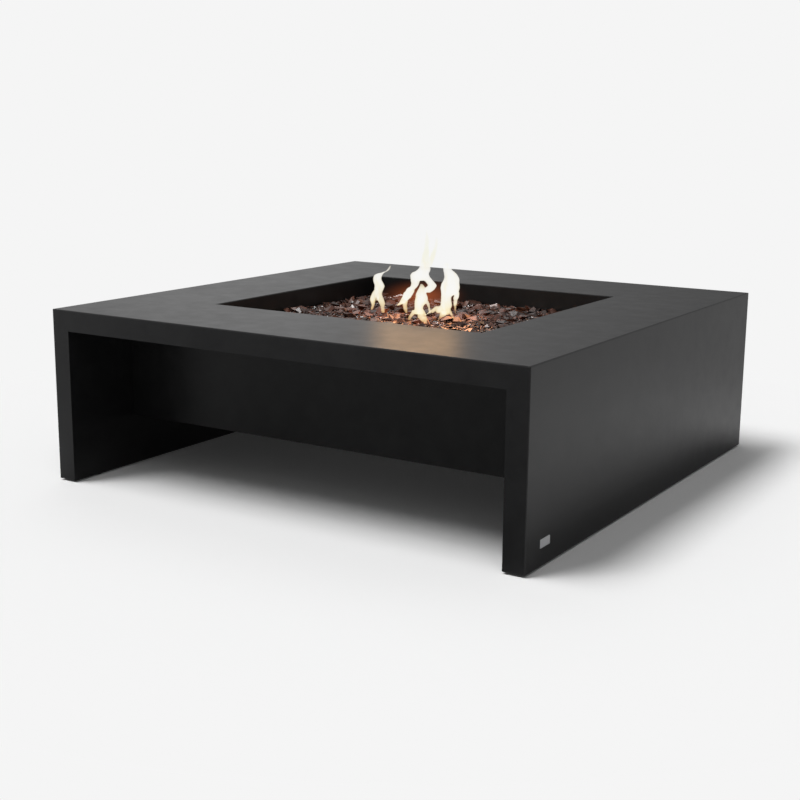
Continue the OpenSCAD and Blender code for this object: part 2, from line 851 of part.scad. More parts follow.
// Venturi profile: tail, throat, mixing chamber and end cap
module mixer_profile() {
    mixer_r = mixer_d / 2;
    chamber_r = mixer_r - mixer_wall;
    polygon([
        [throat_d / 2, -socket_depth],
        [mixer_tail_d / 2, -socket_depth],
        [mixer_tail_d / 2, 0],
        [mixer_r, 0],
        [mixer_r, mixer_l],
        [jet_d / 2 + pipe_fit, mixer_l],
        [jet_d / 2 + pipe_fit, mixer_l - mixer_wall],
        [chamber_r, mixer_l - mixer_wall],
        [chamber_r, mixer_l - mixer_wall - air_l],
        [throat_d / 2, mixer_l - mixer_wall - 2 * air_l]
    ]);
}

module air_mixer() {
    color(brass_gold) on_gas_line(elbow_reach) difference() {
        rotate_extrude() mixer_profile();
        for (turn = [0, 90]) rotate([0, 0, turn])
            translate([-mixer_d, -window_w / 2, mixer_l - mixer_wall - (air_l + window_l) / 2])
                cube([2 * mixer_d, window_w, window_l]);
    }
}

// Tube end of a fitting, with its bore, along +Z
module fitting_tail() {
    cylinder(d = tail_d, h = tail_l);
}

module gas_jet() {
    color(brass_gold) on_gas_line(jet_y) difference() {
        union() {
            translate([0, 0, -mixer_wall - jet_nose]) cylinder(d1 = jet_d / 2, d2 = jet_d, h = jet_nose);
            translate([0, 0, -mixer_wall]) cylinder(d = jet_d, h = mixer_wall + fitting_hex / 2);
            hex(fitting_af, fitting_hex);
            translate([0, 0, fitting_hex]) fitting_tail();
        }
        translate([0, 0, -mixer_wall - jet_nose - over])
            cylinder(d = orifice_d, h = jet_nose + mixer_wall + 2 * over);
        cylinder(d = fitting_bore, h = fitting_hex + tail_l + over);
    }
}

// Tube along +X for run_a, then a quarter bend and along -Y for run_b
module bent_tube(run_a, run_b) {
    bore = gas_tube_d - 2 * gas_tube_wall;
    rotate([0, 90, 0]) tube(gas_tube_d, bore, run_a);
    translate([run_a, -tube_bend, 0]) rotate_extrude(angle = 90) translate([tube_bend, 0]) difference() {
        circle(d = gas_tube_d);
        circle(d = bore);
    }
    translate([run_a + tube_bend, -tube_bend, 0]) rotate([90, 0, 0]) tube(gas_tube_d, bore, run_b);
}

module supply_tube() {
    color(copper_red) translate([valve_x + valve_w / 2 + tail_l, port_y, gas_z])
        bent_tube(supply_a, supply_b);
}

module inlet_tube() {
    color(copper_red) translate([valve_x - valve_w / 2 - tail_l, port_y, gas_z]) rotate([0, 0, 180])
        bent_tube(inlet_a, inlet_b);
}

// Nut over a fitting's tube end at z = 0 and the tube that meets it
module tube_nut() {
    difference() {
        translate([0, 0, -tail_l]) hex(fitting_af, tail_l + nut_over);
        translate([0, 0, -tail_l - over]) cylinder(r = tail_d / 2 + pipe_fit, h = tail_l + over);
        cylinder(r = gas_tube_d / 2 + pipe_fit, h = nut_over + over);
    }
}

module tube_nuts() {
    color(brass_gold) {
        on_gas_line(jet_end) tube_nut();
        for (side = [-1, 1])
            translate([valve_x + side * (valve_w / 2 + tail_l), port_y, gas_z]) rotate([0, side * 90, 0])
                tube_nut();
        on_panel(inlet_x) translate([0, 0, -apron_t - fitting_hex - tail_l]) rotate([180, 0, 0])
            tube_nut();
    }
}

module inlet_fitting() {
    shank_l = apron_t + inlet_nut_h + over;
    color(brass_gold) on_panel(inlet_x) translate([0, 0, -apron_t]) difference() {
        union() {
            translate([0, 0, -fitting_hex]) hex(inlet_af, fitting_hex);
            translate([0, 0, -fitting_hex - tail_l]) fitting_tail();
            translate([0, 0, -fitting_hex / 2]) cylinder(d = inlet_shank_d, h = fitting_hex / 2 + shank_l);
            cylinder(d = inlet_d, h = shank_l + inlet_out);
        }
        translate([0, 0, -fitting_hex - tail_l - over])
            cylinder(d = fitting_bore, h = fitting_hex + tail_l + shank_l + inlet_out + 2 * over);
    }
}

module inlet_nut() {
    color(brass_gold) on_panel(inlet_x) difference() {
        hex(inlet_af, inlet_nut_h);
        translate([0, 0, -over]) cylinder(r = inlet_shank_d / 2 + pipe_fit, h = inlet_nut_h + 2 * over);
    }
}

// Control valve: the knob pushes the stem and rod towards the magnet unit and turns the stem

module valve_body() {
    stem_seat = stem_bottom - push_travel - over;
    color(brass_gold) on_panel(valve_x) difference() {
        union() {
            translate([-valve_w / 2, -valve_w / 2, -apron_t - valve_l]) cube([valve_w, valve_w, valve_l]);
            translate([0, 0, -apron_t - valve_w / 2])
                cylinder(d = boss_d, h = valve_w / 2 + apron_t + boss_out);
            for (side = [-1, 1]) translate([side * valve_w / 2, 0, -apron_t - port_back])
                rotate([0, side * 90, 0]) fitting_tail();
        }
        translate([0, 0, stem_seat]) cylinder(r = stem_d / 2 + run_fit, h = boss_out - stem_seat + over);
        translate([0, 0, -apron_t - valve_l - over])
            cylinder(r = rod_d / 2 + run_fit, h = valve_l + apron_t + stem_seat + 2 * over);
        for (side = [-1, 1]) translate([side * (valve_w / 2 + tail_l + over), 0, -apron_t - port_back])
            rotate([0, -side * 90, 0]) cylinder(d = fitting_bore, h = tail_l + valve_w / 4 + over);
    }
}

module panel_nut() {
    color(zinc_grey) on_panel(valve_x) translate([0, 0, bezel_t]) difference() {
        hex(panel_nut_af, panel_nut_h);
        translate([0, 0, -over]) cylinder(r = boss_d / 2 + pipe_fit, h = panel_nut_h + 2 * over);
    }
}

module knob_bezel() {
    color(steel_grey) on_panel(valve_x) tube(bezel_d, boss_d + 2 * pass_fit, bezel_t);
}

module magnet_unit() {
    color(steel_grey) on_panel(valve_x) translate([0, 0, -apron_t - valve_l - magnet_l]) difference() {
        cylinder(d = magnet_d, h = magnet_l);
        translate([0, 0, magnet_l - magnet_cavity]) cylinder(d = rod_d + 2 * over, h = magnet_cavity + over);
    }
}

module push_rod() {
    color(steel_grey) on_panel(valve_x) translate([0, 0, rod_bottom])
        cylinder(d = rod_d, h = stem_bottom - rod_gap - rod_bottom);
}

// Half plane that leaves a flat on the stem and in the knob's bore
module stem_section(r, flat) {
    intersection() {
        circle(r = r);
        translate([-2 * r, -r]) square([2 * r + flat, 2 * r]);
    }
}

module valve_stem() {
    color(steel_grey) on_panel(valve_x) {
        translate([0, 0, stem_bottom]) cylinder(d = stem_d, h = knob_bore_z - stem_bottom);
        translate([0, 0, knob_bore_z]) linear_extrude(stem_out - knob_bore_z)
            stem_section(stem_d / 2, stem_flat);
    }
}

module control_knob() {
    grip_z = knob_h - grip_l;
    color(knob_black) on_panel(valve_x) translate([0, 0, knob_z]) difference() {
        rotate_extrude() polygon([
            [0, 0],
            [knob_d / 2, 0],
            [knob_d / 2, grip_z],
            [knob_d / 2 - flute_depth, knob_h - pointer_w],
            [knob_d / 2 - pointer_w, knob_h],
            [0, knob_h]
        ]);
        translate([0, 0, -over]) cylinder(d = knob_d - 2 * knob_wall, h = knob_hollow + over);
        translate([0, 0, knob_hollow - over]) linear_extrude(knob_bore + over)
            stem_section(stem_d / 2 + run_fit, stem_flat + run_fit);
        for (i = [0 : flutes - 1]) rotate([0, 0, 360 * (i + 0.5) / flutes])
            translate([knob_d / 2 + flute_d / 2 - 2 * flute_depth, 0, grip_z + over])
                cylinder(d = flute_d, h = grip_l);
        translate([-pointer_w / 2, -knob_d / 2, knob_h - pointer_depth])
            cube([pointer_w, knob_d / 2, pointer_depth + over]);
    }
}

// Igniter

module igniter_body() {
    color(knob_black) on_panel(igniter_x) difference() {
        union() {
            cylinder(d = collar_d, h = collar_t);
            translate([0, 0, -barrel_l]) cylinder(d = barrel_d, h = barrel_l + collar_t / 2);
        }
        translate([0, 0, button_floor])
            cylinder(r = button_d / 2 + run_fit, h = collar_t - button_floor + over);
    }
}

module igniter_nut() {
    color(zinc_grey) on_panel(igniter_x) translate([0, 0, -apron_t - igniter_nut_h]) difference() {
        hex(igniter_nut_af, igniter_nut_h);
        translate([0, 0, -over]) cylinder(r = barrel_d / 2 + pipe_fit, h = igniter_nut_h + 2 * over);
    }
}

module igniter_button() {
    dish_r = button_d * button_d / (8 * button_dish) + button_dish / 2;
    color(steel_grey) on_panel(igniter_x) difference() {
        translate([0, 0, button_bottom]) cylinder(d = button_d, h = button_in + button_out);
        translate([0, 0, collar_t + button_out + dish_r - button_dish / 2]) sphere(r = dish_r);
    }
}

module ignition_lead() {
    start_y = apron_out - barrel_l;
    color(lead_red) lead([
        [igniter_x, start_y, gas_z],
        [igniter_x, start_y - 50, gas_z],
        [electrode_x, sensor_y + 30, gas_z + 4],
        [electrode_x, sensor_y, gas_z + 12],
        [electrode_x, sensor_y, tray_bottom - sensor_tail]
    ], lead_d);
}

// Sensors beside the outer ring

module at_sensors(d_electrode, d_thermo, h) {
    translate([electrode_x, sensor_y, 0]) cylinder(d = d_electrode, h = h);
    translate([thermo_x, sensor_y, 0]) cylinder(d = d_thermo, h = h);
}

// Round sensor body with a collar that rests on the bracket
module sensor_probe(d, h) {
    translate([0, 0, tray_bottom - sensor_tail]) cylinder(d = d, h = sensor_tail + tray_t + h);
    translate([0, 0, floor_z + bracket_t]) cylinder(d = d + 2 * sensor_collar_w, h = sensor_collar_h);
}

module spark_electrode() {
    body_h = sensor_h - sensor_collar_h;
    color(ceramic_white) translate([electrode_x, sensor_y, 0]) {
        sensor_probe(electrode_d, body_h);
        translate([0, 0, floor_z + body_h / 2]) cylinder(d = electrode_wire_d, h = sensor_h - body_h / 2);
    }
}

module thermocouple() {
    color(copper_red) translate([thermo_x, sensor_y, 0]) sensor_probe(thermo_d, sensor_h);
}

module thermo_lead() {
    magnet_y = apron_in - valve_l - magnet_l;
    over_tube = gas_z + gas_tube_d / 2 + 3 * thermo_lead_d;
    color(copper_red) lead([
        [thermo_x, sensor_y, tray_bottom - sensor_tail],
        [thermo_x, sensor_y, over_tube],
        [valve_x, magnet_y - 45, over_tube],
        [valve_x, magnet_y - 30, gas_z],
        [valve_x, magnet_y, gas_z]
    ], thermo_lead_d);
}

module sensor_bracket() {
    color(steel_grey) difference() {
        translate([sensor_x, sensor_y, floor_z])
            cylinder(d = hood_d - 2 * hood_wall - 2 * bed_gap, h = bracket_t);
        translate([0, 0, floor_z - over])
            at_sensors(electrode_d + 2 * screw_fit, thermo_d + 2 * screw_fit, bracket_t + 2 * over);
    }
}

module sensor_hood() {
    hood_h = bed_z - floor_z;
    color(steel_grey) translate([sensor_x, sensor_y, floor_z]) difference() {
        cylinder(d = hood_d, h = hood_h);
        translate([0, 0, -over]) cylinder(d = hood_d - 2 * hood_wall, h = hood_h - hood_wall + over);
        for (i = [0 : hood_windows - 1]) rotate([0, 0, 360 * i / hood_windows])
            translate([0, -hood_window_w / 2, (hood_h - hood_window_h) / 2])
                cube([hood_d, hood_window_w, hood_window_h]);
    }
}

// Stones

module stone_bed() {
    color(stone_black) difference() {
        translate([0, 0, floor_z]) linear_extrude(bed_z - floor_z) tray_outline(tray_t + bed_gap);
        burner_body(-bed_gap);
        translate([0, 0, floor_z - over]) {
            cylinder(r = nipple_d / 2 + bed_gap, h = burner_lift);
            translate([sensor_x, sensor_y, 0]) cylinder(r = hood_d / 2 + bed_gap, h = tray_depth + over);
        }
        at_stands() translate([0, 0, -over]) {
            stand_block(bed_gap);
            translate([0, 0, 2 * over]) stand_block(bed_gap);
        }
    }
}

// A cell is known by its half column u and its row; the draws move its top and bottom corners
function stone_draw(u, row, k) = stone_rnd[((row + 1) * stone_keys + u + 1) * stone_draws + k];
function clamp(v, limit) = max(-limit, min(limit, v));
function stone_move(u, row, k, held) = held ? 0 : 2 * stone_jitter * (stone_draw(u, row, k) - 0.5);
function stone_corner(u, row, up) =
    let (
        rows = row + 0.5 + up * 2 / 3,
        k = up > 0 ? 0 : 2,
        at_side = u < 1 || u > 2 * stone_nx - 1,
        at_end = rows < 0.5 || rows > stone_ny - 0.5
    )
    [
        clamp(u * stone_dx / 2 - stone_w / 2 + stone_move(u, row, k, at_side), stone_w / 2),
        clamp(rows * stone_dy - stone_d / 2 + stone_move(u, row, k + 1, at_end), stone_d / 2)
    ];
function stone_cell(u, row) = [
    stone_corner(u + 1, row - 1, 1), stone_corner(u + 1, row + 1, -1), stone_corner(u, row, 1),
    stone_corner(u - 1, row + 1, -1), stone_corner(u - 1, row - 1, 1), stone_corner(u, row, -1)
];
function middle(p) = p * [for (i = p) 1] / len(p);
function ranged(lo, hi, t) = lo + (hi - lo) * t;

// Angular stone: a flat base in its cell, a narrower uneven crown and a peak
module stone(u, row) {
    cell = stone_cell(u, row);
    centre = [for (axis = [0, 1]) middle([for (p = cell) p[axis]])];
    last = stone_sides - 1;
    grow = ranged(stone_tight, 1, stone_draw(u, row, 4) / 2);
    h = ranged(stone_h_min, stone_h_max, stone_draw(u, row, 5));
    base = [for (p = cell) concat(centre + (p - centre) * grow, 0)];
    crown = [for (k = [0 : last])
        let (
            lean = grow * ranged(0.45, 0.85, stone_draw(u, row, 8 + k)),
            rise = ranged(0.45, 0.9, stone_draw(u, row, 8 + stone_sides + k))
        )
        concat(centre + (cell[k] - centre) * lean, h * rise)];
    peak = [concat(centre + (cell[0] - centre) * (stone_draw(u, row, 6) - 0.5) / 2, h)];
    sides = [for (k = [0 : last])
        let (next = (k + 1) % stone_sides)
        each [[k, stone_sides + k, next], [stone_sides + k, stone_sides + next, next]]];
    top = [for (k = [0 : last]) [stone_sides + k, 2 * stone_sides, stone_sides + (k + 1) % stone_sides]];
    sole = [for (k = [0 : last]) [k, (k + 1) % stone_sides, 2 * stone_sides + 1]];
    translate([0, 0, bed_z])
        polyhedron(concat(base, crown, peak, [concat(centre, 0)]), concat(sides, top, sole));
}

module top_stones() {
    color(stone_black)
        for (row = [0 : stone_ny - 1], u = [1 - row % 2 : 2 : 2 * stone_nx]) stone(u, row);
}

concrete_body();
front_apron();
rear_apron();
apron_cleats();
cleat_screws();
foot_pads();
support_frame();
frame_bolts();
tray_gasket();
burner_tray();
burner_ring();
burner_stand();
burner_locknut();
heat_shield();
shield_studs();
shield_nuts();
gas_elbow();
air_mixer();
gas_jet();
supply_tube();
inlet_tube();
tube_nuts();
inlet_fitting();
inlet_nut();
valve_body();
panel_nut();
knob_bezel();
magnet_unit();
push_rod();
valve_stem();
control_knob();
igniter_body();
igniter_nut();
igniter_button();
ignition_lead();
spark_electrode();
thermocouple();
thermo_lead();
sensor_bracket();
sensor_hood();
stone_bed();
top_stones();
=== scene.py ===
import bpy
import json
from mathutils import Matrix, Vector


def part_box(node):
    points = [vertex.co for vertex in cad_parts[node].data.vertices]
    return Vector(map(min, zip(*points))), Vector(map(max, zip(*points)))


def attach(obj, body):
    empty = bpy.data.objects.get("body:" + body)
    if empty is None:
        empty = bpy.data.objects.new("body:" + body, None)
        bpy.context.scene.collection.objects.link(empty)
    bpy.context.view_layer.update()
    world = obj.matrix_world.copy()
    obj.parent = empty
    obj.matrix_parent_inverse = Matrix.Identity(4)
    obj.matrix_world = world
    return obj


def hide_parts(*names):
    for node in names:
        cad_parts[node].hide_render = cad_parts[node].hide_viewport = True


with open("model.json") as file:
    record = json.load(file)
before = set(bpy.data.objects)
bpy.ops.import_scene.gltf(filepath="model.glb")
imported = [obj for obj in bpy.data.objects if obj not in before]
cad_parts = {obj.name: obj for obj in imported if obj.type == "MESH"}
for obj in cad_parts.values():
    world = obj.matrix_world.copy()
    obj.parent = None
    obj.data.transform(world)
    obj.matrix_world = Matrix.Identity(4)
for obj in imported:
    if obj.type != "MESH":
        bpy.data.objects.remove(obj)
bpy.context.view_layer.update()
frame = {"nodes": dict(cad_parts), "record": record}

import json
import math
import random

import bmesh
import bpy
import numpy as np
from mathutils import Matrix, Vector

MM = 0.001
NODES = frame["nodes"]
SUBPARTS = frame["record"]["subparts"]
TABLE, KNOB = "table", "knob"

# The view: where the camera stands, the way it looks in degrees, and its lens in millimetres.
CAMERA_PLACE = Vector((1.7507, -2.8490, 0.8911))
CAMERA_AZIMUTH, CAMERA_ELEVATION, CAMERA_ROLL = 32.41, 12.29, 0.473
SENSOR, LENS = 36.0, 60.21

# The studio: a pale sweep under soft lamps, most of them at the upper left.
# Each lamp has the way to its source, its strength and how many degrees wide it is.
PALE = 0.913
AMBIENT = 0.14
LAMPS = {
    "front_lamp": (Vector((-0.36, -0.44, 1.0)), 1.25, 20),
    "top_lamp": (Vector((-0.36, -0.15, 1.0)), 1.12, 20),
    "fill_lamp": (Vector((0.40, -0.47, 1.0)), 0.36, 32),
    "rear_lamp": (Vector((-0.53, 0.62, 1.0)), 0.20, 32),
}
# Tones that a gloss sees: of the back wall by the angle in degrees from straight behind towards the left,
# and of the floor by the distance in metres, in front and at the sides, where the floor's tones are painted
# shade that only reflections show. The front's tones turn into those of the sides between two angles from
# straight ahead.
BACK_WALL = (
    (-60, 0.45),
    (-12, 0.45),
    (4, 0.19),
    (15, 0.19),
    (27, 0.34),
    (35, 0.62),
    (42, 0.67),
    (48, 0.50),
)
FRONT_FLOOR_PAINTED_SHADE = ((1.3, 0.13), (2.4, 0.33))
SIDE_FLOOR_PAINTED_SHADE = ((0.75, 0.46), (1.15, 0.82), (2.0, 0.52))
FRONT_EDGE = (39.5, 46.5)
# The floor's own tone, the share of it at the other end of its grain, and the tone that light bounces off.
# Then its size, the distances over which it runs out into the background, and its share of that close by,
# a faint painted glow that lifts the floor's shadow near the table.
FLOOR_ALBEDO, FLOOR_GRAIN, FLOOR_BOUNCE = 0.95, 0.998, 0.45
FLOOR_SIZE, FLOOR_FADE, FLOOR_PAINTED_LIFT = 40.0, (0.9, 1.7), 0.017

# Levels of the object that the pieces are set by.
STONE_LOW, STONE_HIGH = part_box("top_stones")
BED_TOP = STONE_LOW.z
LEG_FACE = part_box("concrete_body")[1].x
LEG_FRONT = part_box("concrete_body")[0].y

# The flames' gas: the height over which its colour changes, how thick it is, and the painted red glow behind
# the flames.
FLAME_FOOT = BED_TOP + 20 * MM
FLAME_HEIGHT = 0.20
FLAME_DENSITY, VEIN_COLOUR = 260.0, (1.0, 0.93, 0.70)
PAINTED_GLOW_STRENGTH, PAINTED_GLOW_COLOUR = 7.2, (1.0, 0.23, 0.07)

# The range that most values of a noise lie in.
NOISE_LOW, NOISE_HIGH = 0.3, 0.7
WHITE = (1.0, 1.0, 1.0)


def grey(tone):
    return (tone, tone, tone)


class Nodes:
    """A node tree, and short calls that add to it."""

    def __init__(self, tree):
        self.tree = tree
        self.place = self.add("ShaderNodeTexCoord").outputs["Object"]

    def add(self, kind, **settings):
        node = self.tree.nodes.new(kind)
        for key, value in settings.items():
            setattr(node, key, value)
        return node

    def link(self, source, target):
        self.tree.links.new(source, target)

    def stretched(self, scale):
        """The place, scaled along each axis."""
        mapping = self.add("ShaderNodeMapping")
        mapping.inputs["Scale"].default_value = scale
        self.link(self.place, mapping.inputs["Vector"])
        return mapping.outputs["Vector"]

    def parts_of_place(self):
        """The place's X, Y and Z, by name."""
        parts = self.add("ShaderNodeSeparateXYZ")
        self.link(self.place, parts.inputs[0])
        return parts.outputs

    def distance(self):
        """How far the place is from the origin."""
        length = self.add("ShaderNodeVectorMath", operation="LENGTH")
        self.link(self.place, length.inputs[0])
        return length.outputs["Value"]

    def noise(self, scale, detail=4.0, rough=0.55, place=None):
        node = self.add("ShaderNodeTexNoise")
        node.inputs["Scale"].default_value = scale
        node.inputs["Detail"].default_value = detail
        node.inputs["Roughness"].default_value = rough
        self.link(place or self.place, node.inputs["Vector"])
        return node.outputs["Fac"]

    def cells(self, scale):
        """The distance to the nearest of many scattered points."""
        node = self.add("ShaderNodeTexVoronoi", feature="F1")
        node.inputs["Scale"].default_value = scale
        self.link(self.place, node.inputs["Vector"])
        return node.outputs["Distance"]

    def spread(self, value, low, high, out_low, out_high):
        """A number that goes from out_low to out_high as the value goes from low to high."""
        node = self.add("ShaderNodeMapRange")
        ends = {"From Min": low, "From Max": high, "To Min": out_low, "To Max": out_high}
        for name, number in ends.items():
            node.inputs[name].default_value = number
        self.link(value, node.inputs["Value"])
        return node.outputs["Result"]

    def by_noise(self, noise, low, high):
        """A number from low to high over the range of a noise."""
        return self.spread(noise, NOISE_LOW, NOISE_HIGH, low, high)

    def math(self, operation, a, b):
        node = self.add("ShaderNodeMath", operation=operation)
        for socket, value in zip(node.inputs, (a, b)):
            if isinstance(value, (int, float)):
                socket.default_value = value
            else:
                self.link(value, socket)
        return node.outputs["Value"]

    def ramp(self, value, *stops):
        """A colour by a value, from stops of (value, colour)."""
        node = self.add("ShaderNodeValToRGB")
        line = node.color_ramp.elements
        while len(line) < len(stops):
            line.new(0.5)
        for element, (place, colour) in zip(line, stops):
            element.position = place
            element.color = (*colour, 1.0)
        self.link(value, node.inputs["Fac"])
        return node.outputs["Color"]

    def tones(self, noise, low, high):
        """A colour from low to high over the range of a noise."""
        return self.ramp(noise, (NOISE_LOW, low), (NOISE_HIGH, high))

    def profile(self, value, stops):
        """Grey tones by a value, from stops of (value, tone) that rise in value."""
        first, last = stops[0][0], stops[-1][0]
        along = self.spread(value, first, last, 0.0, 1.0)
        return self.ramp(along, *(((place - first) / (last - first), grey(tone)) for place, tone in stops))

    def mix(self, factor, a, b, kind="MIX"):
        node = self.add("ShaderNodeMix", data_type="RGBA", blend_type=kind)
        if isinstance(factor, float):
            node.inputs["Factor"].default_value = factor
        else:
            self.link(factor, node.inputs["Factor"])
        for socket, value in ((node.inputs[6], a), (node.inputs[7], b)):
            if isinstance(value, tuple):
                socket.default_value = (*value, 1.0)
            else:
                self.link(value, socket)
        return node.outputs[2]

    def times(self, a, b):
        """One colour multiplied by another."""
        return self.mix(1.0, a, b, "MULTIPLY")

    def turn_about(self, across, ahead):
        """The angle about the table's middle, in radians, from the way ahead towards the way across."""
        parts = self.parts_of_place()
        sides = []
        for sign, axis in (across, ahead):
            sides.append(self.math("MULTIPLY", parts[axis], float(sign + "1")))
        return self.math("ARCTAN2", *sides)


class Shader(Nodes):
    """A material with one Principled shader."""

    def __init__(self, name, **values):
        self.material = bpy.data.materials.new(name)
        self.material.use_nodes = True
        super().__init__(self.material.node_tree)
        self.bsdf = self.tree.nodes["Principled BSDF"]
        self.output = self.tree.nodes["Material Output"]
        for socket, value in values.items():
            self.bsdf.inputs[socket.replace("_", " ")].default_value = value

    def paint(self, socket, value):
        self.link(value, self.bsdf.inputs[socket])

    def bump(self, height, strength, distance, after=None):
        node = self.add("ShaderNodeBump")
        node.inputs["Strength"].default_value = strength
        node.inputs["Distance"].default_value = distance
        self.link(height, node.inputs["Height"])
        if after:
            self.link(after, node.inputs["Normal"])
        self.link(node.outputs["Normal"], self.bsdf.inputs["Normal"])
        return node.outputs["Normal"]


def sealed_concrete():
    """Graphite cast concrete under a satin sealer: cloudy tone, fine grain and a few closed air pores, whose
    dark is painted shade in their hollows.
    """
    s = Shader("sealed_concrete", Specular_IOR_Level=0.42)
    cloud = s.noise(2.4, detail=5.0, rough=0.5)
    mottle = s.noise(23.0, detail=6.0, rough=0.62)
    grain = s.noise(520.0, detail=3.0, rough=0.6)
    tone = s.ramp(cloud, (0.32, (0.0095, 0.0096, 0.0102)), (0.68, (0.0150, 0.0150, 0.0156)))
    speck = s.ramp(mottle, (0.34, (0.80, 0.80, 0.81)), (0.66, (1.16, 1.16, 1.15)))
    # The pores are painted darker than the concrete around them: painted shade in their hollows.
    shaded_pores = s.spread(s.cells(95.0), 0.045, 0.085, 0.0, 1.0)
    s.paint("Base Color", s.mix(shaded_pores, (0.005, 0.005, 0.0052), s.times(tone, speck)))
    s.paint("Roughness", s.math("ADD", s.by_noise(mottle, 0.31, 0.37), s.by_noise(cloud, -0.015, 0.015)))
    fine = s.bump(s.math("MULTIPLY", grain, shaded_pores), strength=0.10, distance=0.3 * MM)
    s.bump(mottle, strength=0.06, distance=0.6 * MM, after=fine)
    return s.material


def brushed(name, dark, light, along, rough=(0.24, 0.40)):
    """Sheet metal with fine brush lines; along scales the place so that the lines run one way."""
    s = Shader(name, Metallic=1.0)
    lines = s.noise(1.0, detail=3.0, rough=0.7, place=s.stretched(along))
    stain = s.tones(s.noise(14.0), (0.86, 0.86, 0.87), WHITE)
    s.paint("Base Color", s.times(s.tones(lines, dark, light), stain))
    s.paint("Roughness", s.by_noise(lines, *rough))
    s.bump(lines, strength=0.10, distance=0.05 * MM)
    return s.material


def turned(name, dark, light, rough=(0.22, 0.38), grime=(0.55, 0.52, 0.48)):
    """Turned or drawn metal: slight tarnish in clouds, and fine scratches."""
    s = Shader(name, Metallic=1.0)
    cloud = s.noise(60.0, detail=5.0, rough=0.6)
    scratches = s.noise(1400.0, detail=2.0)
    tone = s.tones(cloud, dark, light)
    tarnish = s.spread(cloud, 0.25, 0.42, 0.6, 0.0)
    s.paint("Base Color", s.mix(tarnish, tone, s.times(tone, grime)))
    s.paint("Roughness", s.by_noise(cloud, rough[1], rough[0]))
    s.bump(scratches, strength=0.08, distance=0.04 * MM)
    return s.material


def painted_steel():
    """Black powder coat with its fine orange peel."""
    s = Shader("painted_steel")
    peel = s.noise(620.0, detail=2.0)
    s.paint("Base Color", s.tones(s.noise(9.0), (0.013, 0.013, 0.014), (0.022, 0.022, 0.023)))
    s.paint("Roughness", s.by_noise(peel, 0.42, 0.58))
    s.bump(peel, strength=0.22, distance=0.15 * MM)
    return s.material


def moulded(name, dark, light, rough, texture):
    """Moulded rubber, plastic or sleeve: a faint tone change and a fine spark-eroded texture."""
    s = Shader(name)
    fine = s.noise(texture, detail=3.0)
    s.paint("Base Color", s.tones(s.noise(38.0), dark, light))
    s.paint("Roughness", s.by_noise(fine, *rough))
    s.bump(fine, strength=0.18, distance=0.08 * MM)
    return s.material


def woven_fibre():
    """Pressed ceramic fibre of the gasket: pale, with a tangle of short strands."""
    s = Shader("woven_fibre")
    strands = s.noise(420.0, detail=6.0, rough=0.75, place=s.stretched((1.0, 1.0, 0.3)))
    s.paint("Base Color", s.tones(strands, (0.50, 0.48, 0.43), (0.74, 0.72, 0.66)))
    s.paint("Roughness", s.by_noise(strands, 0.82, 0.96))
    s.bump(strands, strength=0.5, distance=0.3 * MM)
    return s.material


def stone_tone(s):
    """Each stone's own colour: most black-brown, some rust and some grey."""
    island = s.add("ShaderNodeNewGeometry").outputs["Random Per Island"]
    return s.ramp(
        island,
        (0.00, (0.016, 0.009, 0.008)),
        (0.35, (0.038, 0.019, 0.014)),
        (0.60, (0.080, 0.036, 0.026)),
        (0.80, (0.130, 0.060, 0.042)),
        (0.92, (0.075, 0.052, 0.048)),
        (1.00, (0.200, 0.115, 0.090)),
    )


def glassy_stone():
    """Broken glassy rock: dark, with bands, sharp bright facets and a fine conchoidal ripple."""
    s = Shader("glassy_stone")
    bands = s.noise(48.0, rough=0.6)
    ripple = s.noise(260.0, detail=3.0)
    s.paint("Base Color", s.times(stone_tone(s), s.tones(bands, (0.55, 0.52, 0.50), (1.27, 1.22, 1.20))))
    s.paint("Roughness", s.by_noise(bands, 0.14, 0.34))
    s.bump(ripple, strength=0.25, distance=0.5 * MM)
    return s.material


def packed_stone():
    """The hidden layers of stones: a dark broken surface, lighter in the middle of each lump, with painted
    shade in the gaps between lumps.
    """
    s = Shader("packed_stone")
    lumps_and_gap_shade = s.cells(62.0)
    # Each lump is painted lighter in its middle and darker towards its edges: painted shade in the gaps
    # between the stones.
    s.paint("Base Color", s.ramp(lumps_and_gap_shade, (0.05, (0.030, 0.021, 0.018)), (0.6, (0.006, 0.005, 0.005))))
    s.paint("Roughness", s.spread(lumps_and_gap_shade, 0.0, 0.6, 0.30, 0.7))
    s.bump(lumps_and_gap_shade, strength=0.9, distance=4 * MM)
    return s.material


